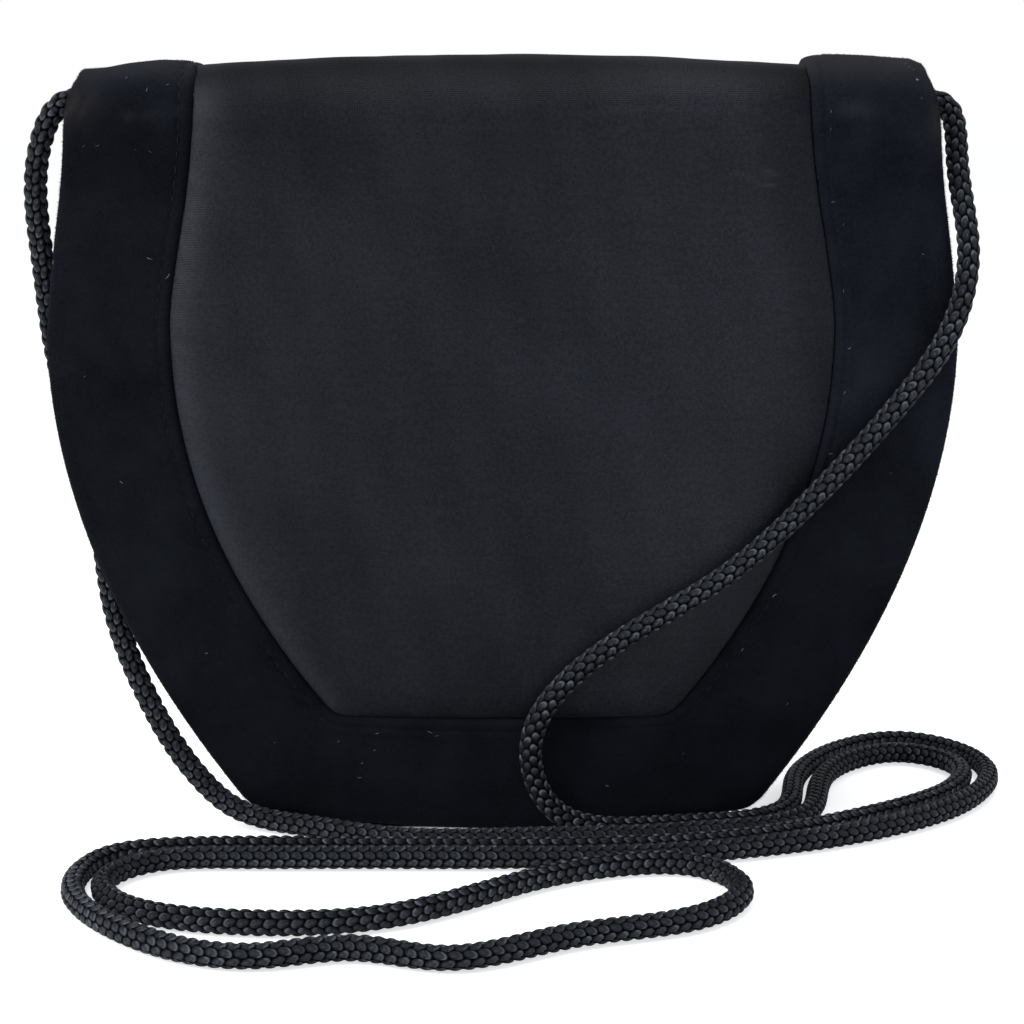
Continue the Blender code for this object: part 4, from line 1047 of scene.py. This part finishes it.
reach = np.concatenate([np.full(50, 21.8), np.linspace(21.9, FLAP_END - 2, 360)])
bottom_x = np.linspace(0, float(satin_half_width(SATIN_BOTTOM)) + 2.4, 50)
x = np.concatenate([bottom_x, satin_half_width(reach[50:] + 0.8) + 3.1])
row = both_halves(np.stack([x, reach], axis=1))
row_path = flap_point(row[:, 0], row[:, 1], 0.08)
row_out = row_path - flap_point(row[:, 0], row[:, 1], 1.08)
topstitch = new_piece(
    "velvet_stitches",
    stitch_mesh("velvet_stitches", row_path, row_out, 3.0, 2.1, 0.13),
    thread_material("black_topstitch_thread", (0.0045, 0.005, 0.007)),
)
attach(topstitch, "flap")

# Pouch panels: black satin drawn over card, front and back, cut to the pouch's outline and turned
# over the mouth to the inside. Both are seamed to the gusset along their sides and bottom.

FRONT_TOP = 150.0
BACK_TOP = 155.5
POUCH_BLACK = (0.0078, 0.0086, 0.0125)


def front_y(x, z):
    """Outer face of the front panel, which leans back with the flap and follows its bow."""
    return -13.0 + 3.5 * z / 146.5 + bow(x, z)


def back_y(x, z):
    """Outer face of the back panel, which is flat and leans forward by 5."""
    return 18.0 - 5.0 * z / BACK_TOP


def top_z(x, y):
    """Height of the pouch's mouth: 150 at the front panel, 155.5 from 6 behind it."""
    front = front_y(x, FRONT_TOP)
    return FRONT_TOP + (BACK_TOP - FRONT_TOP) * smoothstep(y, front, front + 6.0)


def pouch_outline(inset):
    """Right half of the pouch's outline as (x, z), 6.6 inside the flap's and moved in by inset."""
    corner = np.array([float(flap_half_width(0.0)) - 6.6, 0.0])
    end = (float(flap_half_width(5.6)) - 6.6, 5.6)
    bend = corner_curve(corner - [7.0, 0.0], corner, end, 13)
    z = np.linspace(5.6, 159.5, 90)[1:]
    up = np.stack([flap_half_width(z) - 6.6, z], axis=1)
    points = np.concatenate([[[0.0, 0.0]], bend, up])
    along = np.gradient(points, axis=0)
    along /= np.linalg.norm(along, axis=1)[:, None]
    return points + np.stack([-along[:, 1], along[:, 0]], axis=1) * inset


def pouch_half_width(z, inset):
    """Half of the pouch's width at z, moved in by inset."""
    outline = pouch_outline(inset)[1:]
    return np.interp(z, outline[:, 1], outline[:, 0])


def panel_points(face, inward, top, hem_lift, seed):
    """Grid of one panel as points in mm, its face at depth 0.25 + 0.5 exp(-e / 0.8), e being the
    distance from the rim. The last rows turn over the mouth on half an ellipse 3.7 deep and go 6
    down inside."""
    upper = np.concatenate([np.linspace(9, 128, 90)[1:], np.linspace(128, top, 30)[1:]])
    z = np.concatenate([[0.0], np.linspace(0.0, 9.0, 18), upper])
    u = crowded_steps(120)
    half = pouch_half_width(z, 0.0)
    x = u[None, :] * half[:, None]
    height = np.repeat(z[:, None], len(u), axis=1)
    e = np.minimum(half[:, None] - np.abs(x), height)
    along = height + np.abs(x) * 0.7
    depth = 0.25 + 0.5 * np.exp(-e / 0.8) - 0.22 * wavy(x, height, seed) * smoothstep(e, 1.0, 12.0)
    depth = depth - 0.07 * np.sin(along * 2 * math.pi / 6.0 + np.sin(along / 9.0)) * np.exp(-e / 5.0)
    depth[:, 0] = depth[:, -1] = 1.25
    depth[0, :] = 1.25
    y = face(x, height) + inward * depth
    a = np.radians(np.linspace(0, 180, 13))[1:]
    over_depth = np.concatenate([0.25 + 1.85 * (1 - np.cos(a)), np.full(8, 3.95)])
    over_z = np.concatenate([top + hem_lift * np.sin(a), top - np.linspace(0, 6.0, 9)[1:]])
    draw_in = np.concatenate([2.7 * (1 - np.cos(a)) / 2, np.full(8, 2.7)])
    over_x = u[None, :] * (half[-1] - draw_in)[:, None]
    over_y = face(over_x, np.full_like(over_x, top)) + inward * over_depth[:, None]
    x = np.concatenate([x, over_x])
    y = np.concatenate([y, over_y])
    height = np.concatenate([height, np.repeat(over_z[:, None], len(u), axis=1)])
    return np.stack([x, y, height], axis=-1)


for name, node, face, inward, top, hem_lift, seed in (
    ("front_panel_cover", "front_panel", front_y, 1, FRONT_TOP, 0.7, 51),
    ("back_panel_cover", "back_panel", back_y, -1, 155.3, 0.15, 52),
):
    points = panel_points(face, inward, top, hem_lift, seed)
    mesh = grid_mesh(name, points)
    satin_values(mesh, 1 + 0.15 * wavy(points[..., 0], points[..., 2], seed + 5))
    panel = new_piece(name, mesh, satin_material(name + "_satin", POUCH_BLACK, 900.0, 0.52))
    cloth_wall(panel, 0.4)
    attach(panel, "bag_body")
    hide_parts(node)

# Gusset: the satin band that joins the two panels up both sides and under the bottom. It is turned
# in at the mouth, and the cord's eyelets are set in it near the top.

EYELET_HOLE = 3.45


def opened_round_eyelets(points, size):
    """Points moved away from the eyelets' axes: with d the distance from the axis, it becomes
    (d^3 + size^3)^(1/3). Also returns where d was under 1, which is the hole."""
    hole = np.zeros(points.shape[:-1], bool)
    for side in (-1, 1):
        middle = EYELET * np.array([side, 1, 1])
        axis = EYELET_AXIS * np.array([side, 1, 1])
        from_middle = points - middle
        reach = from_middle @ axis
        out = from_middle - reach[..., None] * axis
        d = np.maximum(np.linalg.norm(out, axis=-1), 1e-6)
        near = (np.abs(reach) < 6.0) & (d < 12.0)
        pushed = (d**3 + size**3) ** (1 / 3)
        points = np.where(near[..., None], points + out * (pushed / d - 1)[..., None], points)
        hole |= near & (d < 1.0)
    return points, hole


def gusset_points():
    """Grid of the gusset as points in mm, along its length and from the front seam to the back seam."""
    outline = pouch_outline(0.0)
    v = np.linspace(-1, 1, 44)
    bottom_x = np.concatenate([np.linspace(0, outline[1, 0], 40)[:-1], outline[1:14, 0]])
    bottom_z = np.concatenate([np.zeros(39), outline[1:14, 1]])
    t = np.concatenate([np.linspace(0, 0.9, 90)[1:], np.linspace(0.9, 1.0, 26)[1:]])
    mouth_half = float(pouch_half_width(BACK_TOP, 0.0))
    near_top = front_y(mouth_half, FRONT_TOP) + 0.7
    far_top = back_y(mouth_half, BACK_TOP) - 0.7
    mouth = top_z(mouth_half, near_top + (far_top - near_top) * (v + 1) / 2)
    side_z = 5.6 + (mouth[None, :] - 5.6) * t[:, None]
    a = np.radians(np.linspace(0, 180, 11))[1:]
    over_z = np.concatenate([0.3 * np.sin(a), -np.linspace(0, 5.0, 8)[1:]])
    over_in = np.concatenate([1.3 * (1 - np.cos(a)), np.full(7, 2.6)])
    z = np.concatenate([np.repeat(bottom_z[:, None], 44, axis=1), side_z, mouth[None, :] + over_z[:, None]])
    over_x = pouch_half_width(mouth, 0.0)[None, :] - over_in[:, None]
    x = np.concatenate([np.repeat(bottom_x[:, None], 44, axis=1), pouch_half_width(side_z, 0.0), over_x])
    flat_z = np.minimum(z, mouth[None, :])
    near = front_y(x, flat_z) + 0.7
    far = back_y(x, flat_z) - 0.7
    y = near + (far - near) * (v[None, :] + 1) / 2
    hollow = 0.25 + 0.35 * np.cos(v * math.pi / 2)[None, :] + 0.12 * wavy(x * 2, y + z, 61)
    on_bottom = (z < 0.01) & (x < bottom_x[39] + 0.01)
    x = np.where(on_bottom, x, x - hollow * smoothstep(z, 0.0, 6.0))
    z = z + hollow * (1 - smoothstep(z, 0.0, 6.0))
    right = np.stack([x, y, z], axis=-1)
    left = right[:0:-1] * np.array([-1.0, 1.0, 1.0])
    return np.concatenate([left, right])


points, hole = opened_round_eyelets(gusset_points(), EYELET_HOLE)
gusset_mesh = grid_mesh("gusset_cover", points, hole=hole)
satin_values(gusset_mesh, 1 + 0.15 * wavy(points[..., 1], points[..., 2], 62))
gusset = new_piece("gusset_cover", gusset_mesh, satin_material("gusset_satin", POUCH_BLACK, 900.0, 0.52))
cloth_wall(gusset, 0.4)
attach(gusset, "bag_body")
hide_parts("gusset")

# Pouch lining: a bag of black lining cloth inside the cards, slack between them, with its own
# openings for the eyelets. Its mouth is caught under the turned-in satin.


def pouch_lining_points():
    """Grid of the lining as points in mm, from the middle of its floor outward and up to its mouth,
    closed round the pouch."""
    long_side = np.linspace(-1, 1, 80)[:-1]
    short_side = np.linspace(-1, 1, 30)[:-1]
    u = np.concatenate([long_side, np.ones(29), -long_side, -np.ones(29)])
    v = np.concatenate([-np.ones(79), short_side, np.ones(79), -short_side])
    floor_share = np.array([0.03, 0.25, 0.5, 0.75, 0.92])
    t = np.concatenate([np.linspace(0, 0.86, 60), np.linspace(0.86, 1, 24)[1:]])
    u = np.concatenate([floor_share[:, None] * u[None, :], np.repeat(u[None, :], len(t), axis=0)])
    v = np.concatenate([floor_share[:, None] * v[None, :], np.repeat(v[None, :], len(t), axis=0)])
    t = np.concatenate([np.zeros(5), t])[:, None]
    half_top = float(pouch_half_width(155.0, 1.8))
    near = front_y(u * half_top, FRONT_TOP) + 3.2
    far = back_y(u * half_top, BACK_TOP) - 3.2
    top = top_z(u * half_top, near + (far - near) * (v + 1) / 2) - 0.8
    z = 1.9 + (top - 1.9) * t
    x = u * pouch_half_width(z, 1.9)
    near = front_y(x, z) + 3.2
    far = back_y(x, z) - 3.2
    slack = 0.5 * smoothstep(t, 0.0, 0.2) * smoothstep(1 - t, 0.03, 0.3)
    v = v * (1 - 0.05 * slack * (1 + wavy(x, z, 71)))
    y = near + (far - near) * (v + 1) / 2
    return np.stack([x, y, z], axis=-1)


points, hole = opened_round_eyelets(pouch_lining_points(), EYELET_HOLE)
pouch_lining_mesh = grid_mesh("pouch_lining_cloth", points, closed_across=True, hole=hole)
satin_values(pouch_lining_mesh, 1 + 0.15 * wavy(points[..., 0], points[..., 2], 72))
pouch_lining_finish = satin_material("black_pouch_lining", LINING_BLACK, 1200.0, 0.6)
pouch_lining = new_piece("pouch_lining_cloth", pouch_lining_mesh, pouch_lining_finish)
cloth_wall(pouch_lining, 0.4)
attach(pouch_lining, "bag_body")
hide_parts("lining")

# Back seam: the strip of satin between the flap and the back panel, which is the flap's hinge. It
# lies just inside both faces, and a row of stitches holds it to the back panel.

u = np.linspace(-1, 1, 160)
z = np.linspace(153.9, 157.6, 15)
seam_half = np.minimum(flap_half_width(z) - 3.0, pouch_half_width(z, 0.0) + 1.5)
x = u[None, :] * seam_half[:, None]
ridge = 0.55 * np.exp(-(((z - 155.75) / 0.45) ** 2))
turned_in = 0.35 * np.clip(z - 156.4, 0, None) ** 2 / 2
y = (12.55 + ridge - turned_in)[:, None] + 0.06 * np.sin(x * 2 * math.pi / 2.8)
seam_mesh = grid_mesh("back_seam", np.stack([x, y, np.broadcast_to(z[:, None], x.shape)], axis=-1))
satin_values(seam_mesh, np.full(x.shape, 0.8))
seam_finish = satin_material("seam_satin", (0.0070, 0.0078, 0.0110), 900.0, 0.55)
seam = new_piece("back_seam", seam_mesh, seam_finish)
cloth_wall(seam, 0.25)
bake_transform(seam)

stations = np.linspace(-1, 1, 400)
half = float(pouch_half_width(152.8, 0.0)) - 1.5
path = np.stack([stations * half, np.full(400, back_y(0.0, 152.8) - 0.1), np.full(400, 152.8)], axis=1)
out = np.repeat([[0.0, 1.0, 0.03]], 400, axis=0)
back_row = new_piece(
    "back_stitches",
    stitch_mesh("back_stitches", path, out, 2.8, 1.9, 0.14),
    thread_material("black_back_thread", (0.012, 0.0125, 0.015)),
)
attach(back_row, "bag_body")

# Metal: eyelets and magnetic snap, pressed steel with a black plating that is slightly uneven in
# colour and gloss. The eyelets are set in the gusset, the snap's halves in flap and front panel.


def dark_metal(name):
    """Black plated steel, clouded in colour and gloss by one soft noise."""
    material, tree, shader = new_finish(name)
    cloud = add_noise(tree, place_on_piece(tree), 260.0, 4.0)
    colour = add_ramp(tree, cloud, 0.35, (0.070, 0.070, 0.076), 0.75, (0.105, 0.102, 0.102))
    tree.links.new(colour, shader.inputs["Base Color"])
    tree.links.new(add_range(tree, cloud, 0.0, 1.0, 0.20, 0.32), shader.inputs["Roughness"])
    add_bump(tree, shader, cloud, 0.05, 0.00005)
    shader.inputs["Metallic"].default_value = 1.0
    return material


for node in ("snap_socket", "snap_stud", "cord_eyelet_left", "cord_eyelet_right"):
    bpy.data.objects[node].material_slots[0].material = dark_metal(node + "_metal")

# Card and wadding: grey pulp card in the flap and both panels, white polyester wadding under the
# satin. None of them shows on the finished bag.


def pulp_material(name, dark, light, scale, bump_height):
    """Pressed or loose fibres: two tones in a fine noise that also roughens the surface."""
    material, tree, shader = new_finish(name)
    fibre = add_noise(tree, place_on_piece(tree), scale, 6.0, 0.7)
    tree.links.new(add_ramp(tree, fibre, 0.3, dark, 0.7, light), shader.inputs["Base Color"])
    add_bump(tree, shader, fibre, 0.5, bump_height)
    shader.inputs["Roughness"].default_value = 0.95
    return material


for node in ("flap_board", "front_board", "back_board"):
    card = pulp_material(node + "_card", (0.20, 0.19, 0.17), (0.34, 0.32, 0.29), 700.0, 0.0001)
    bpy.data.objects[node].material_slots[0].material = card
wadding = pulp_material("white_wadding_fibre", (0.55, 0.54, 0.52), (0.75, 0.74, 0.72), 400.0, 0.0006)
bpy.data.objects["flap_wadding"].material_slots[0].material = wadding

# Lint: pale cotton fibres and specks of dust, 0.5 to 2 mm long. They lie loose, caught in the
# velvet's pile and on the satin. Each is (x, reach, length, turn), in mm and radians.

LINT = (
    (-81.6, 143.0, 1.0, 0.2), (-84.4, 142.9, 0.9, 0.6), (-70.9, 141.8, 1.1, -0.5), (-73.8, 142.2, 0.6, 0.1),
    (-71.1, 154.3, 1.2, 1.4), (-67.0, 155.5, 0.7, 0.4), (-61.5, 153.3, 0.7, 0.2), (-41.1, 149.1, 0.5, 0.9),
    (-53.9, 153.3, 0.9, 1.5), (-68.1, 116.7, 1.8, 0.8), (-71.8, 120.3, 1.6, -0.4), (-43.5, 125.4, 1.0, 0.3),
    (-92.0, 119.3, 1.1, 1.4), (-75.4, 157.5, 0.7, 0.9), (-60.1, 132.5, 0.6, 0.7), (65.8, 149.7, 0.9, 1.5),
    (65.9, 146.3, 0.8, 1.4), (67.1, 131.7, 1.0, 0.2), (69.3, 127.2, 0.8, 1.2), (69.6, 113.7, 0.9, 1.6),
    (71.1, 102.0, 1.0, 0.4), (70.3, 92.9, 0.9, 1.1), (67.7, 80.3, 1.2, 0.3), (56.6, 50.6, 1.4, 0.7),
    (50.1, 39.2, 1.1, 1.0), (-13.7, 21.5, 0.9, 0.2), (-15.1, 22.2, 1.4, -0.3), (83.3, 157.0, 0.8, 0.5),
    (83.4, 157.0, 0.8, 2.0), (83.3, 156.9, 0.8, -0.7), (-86.0, 96.0, 0.8, 0.5), (-79.0, 74.0, 1.1, -0.7),
    (-62.0, 38.0, 0.9, 0.4), (-30.0, 12.0, 1.2, 0.2), (22.0, 10.5, 1.0, -0.5), (38.0, 17.0, 0.8, 0.9),
    (80.5, 76.0, 0.9, 0.6), (86.0, 121.0, 0.8, -0.4), (60.0, 27.0, 0.7, 1.2), (-48.0, 19.0, 0.6, 0.6),
    (12.0, 96.0, 0.6, 0.3), (-20.0, 71.0, 0.5, 1.0), (33.0, 118.0, 0.6, -0.6), (-5.0, 133.0, 0.5, 0.2),
    (83.2, 157.2, 0.7, 1.2), (83.5, 156.9, 0.6, 0.1), (81.7, 162.8, 0.5, 0.3), (82.3, 161.4, 0.6, 1.2),
    (83.0, 160.2, 0.5, 0.4), (84.0, 152.5, 0.5, 0.3), (-26.2, 21.8, 0.9, 0.2), (-34.4, 19.8, 0.7, 1.0),
    (-26.8, 18.1, 0.6, 0.5), (-29.4, 15.2, 0.5, -0.4),
)


def lint_mesh():
    """Flat bent ribbons 0.08 mm wide. Each runs on an arc of up to a quarter turn round its place."""
    random = np.random.default_rng(77)
    points = []
    faces = []
    for x, reach, length, turn in LINT:
        t = np.linspace(-0.5, 0.5, 7)
        curl = random.uniform(-1.4, 1.4)
        heading = turn + curl * t
        step_x = np.cumsum(np.cos(heading)) * length / 7
        step_z = np.cumsum(np.sin(heading)) * length / 7
        fx, fz = x + step_x - step_x.mean(), reach + step_z - step_z.mean()
        on_satin = np.abs(fx) < satin_half_width(fz)
        on_satin &= fz > SATIN_BOTTOM
        depth = np.where(on_satin, satin_depth(fx, fz) - 0.12, -0.75 + 0.3 * np.abs(t))
        wide = 0.04 * np.sqrt(1.02 - (2 * t) ** 2)
        low = flap_point(fx + wide * np.sin(heading), fz - wide * np.cos(heading), depth)
        high = flap_point(fx - wide * np.sin(heading), fz + wide * np.cos(heading), depth)
        base = len(points)
        points.extend(low.tolist() + high.tolist())
        faces.extend([(base + k, base + k + 1, base + k + 8, base + k + 7) for k in range(6)])
    return mesh_in_mm("lint_fibres", points, faces)


def lint_material():
    """Pale fibres, some darker than others."""
    material, tree, shader = new_finish("pale_lint")
    shade = add_noise(tree, place_on_piece(tree), 60.0, 2.0)
    colour = add_ramp(tree, shade, 0.35, (0.05, 0.055, 0.06), 0.65, (0.32, 0.34, 0.35))
    tree.links.new(colour, shader.inputs["Base Color"])
    shader.inputs["Roughness"].default_value = 0.9
    return material


lint = new_piece("lint_fibres", lint_mesh(), lint_material())
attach(lint, "flap")
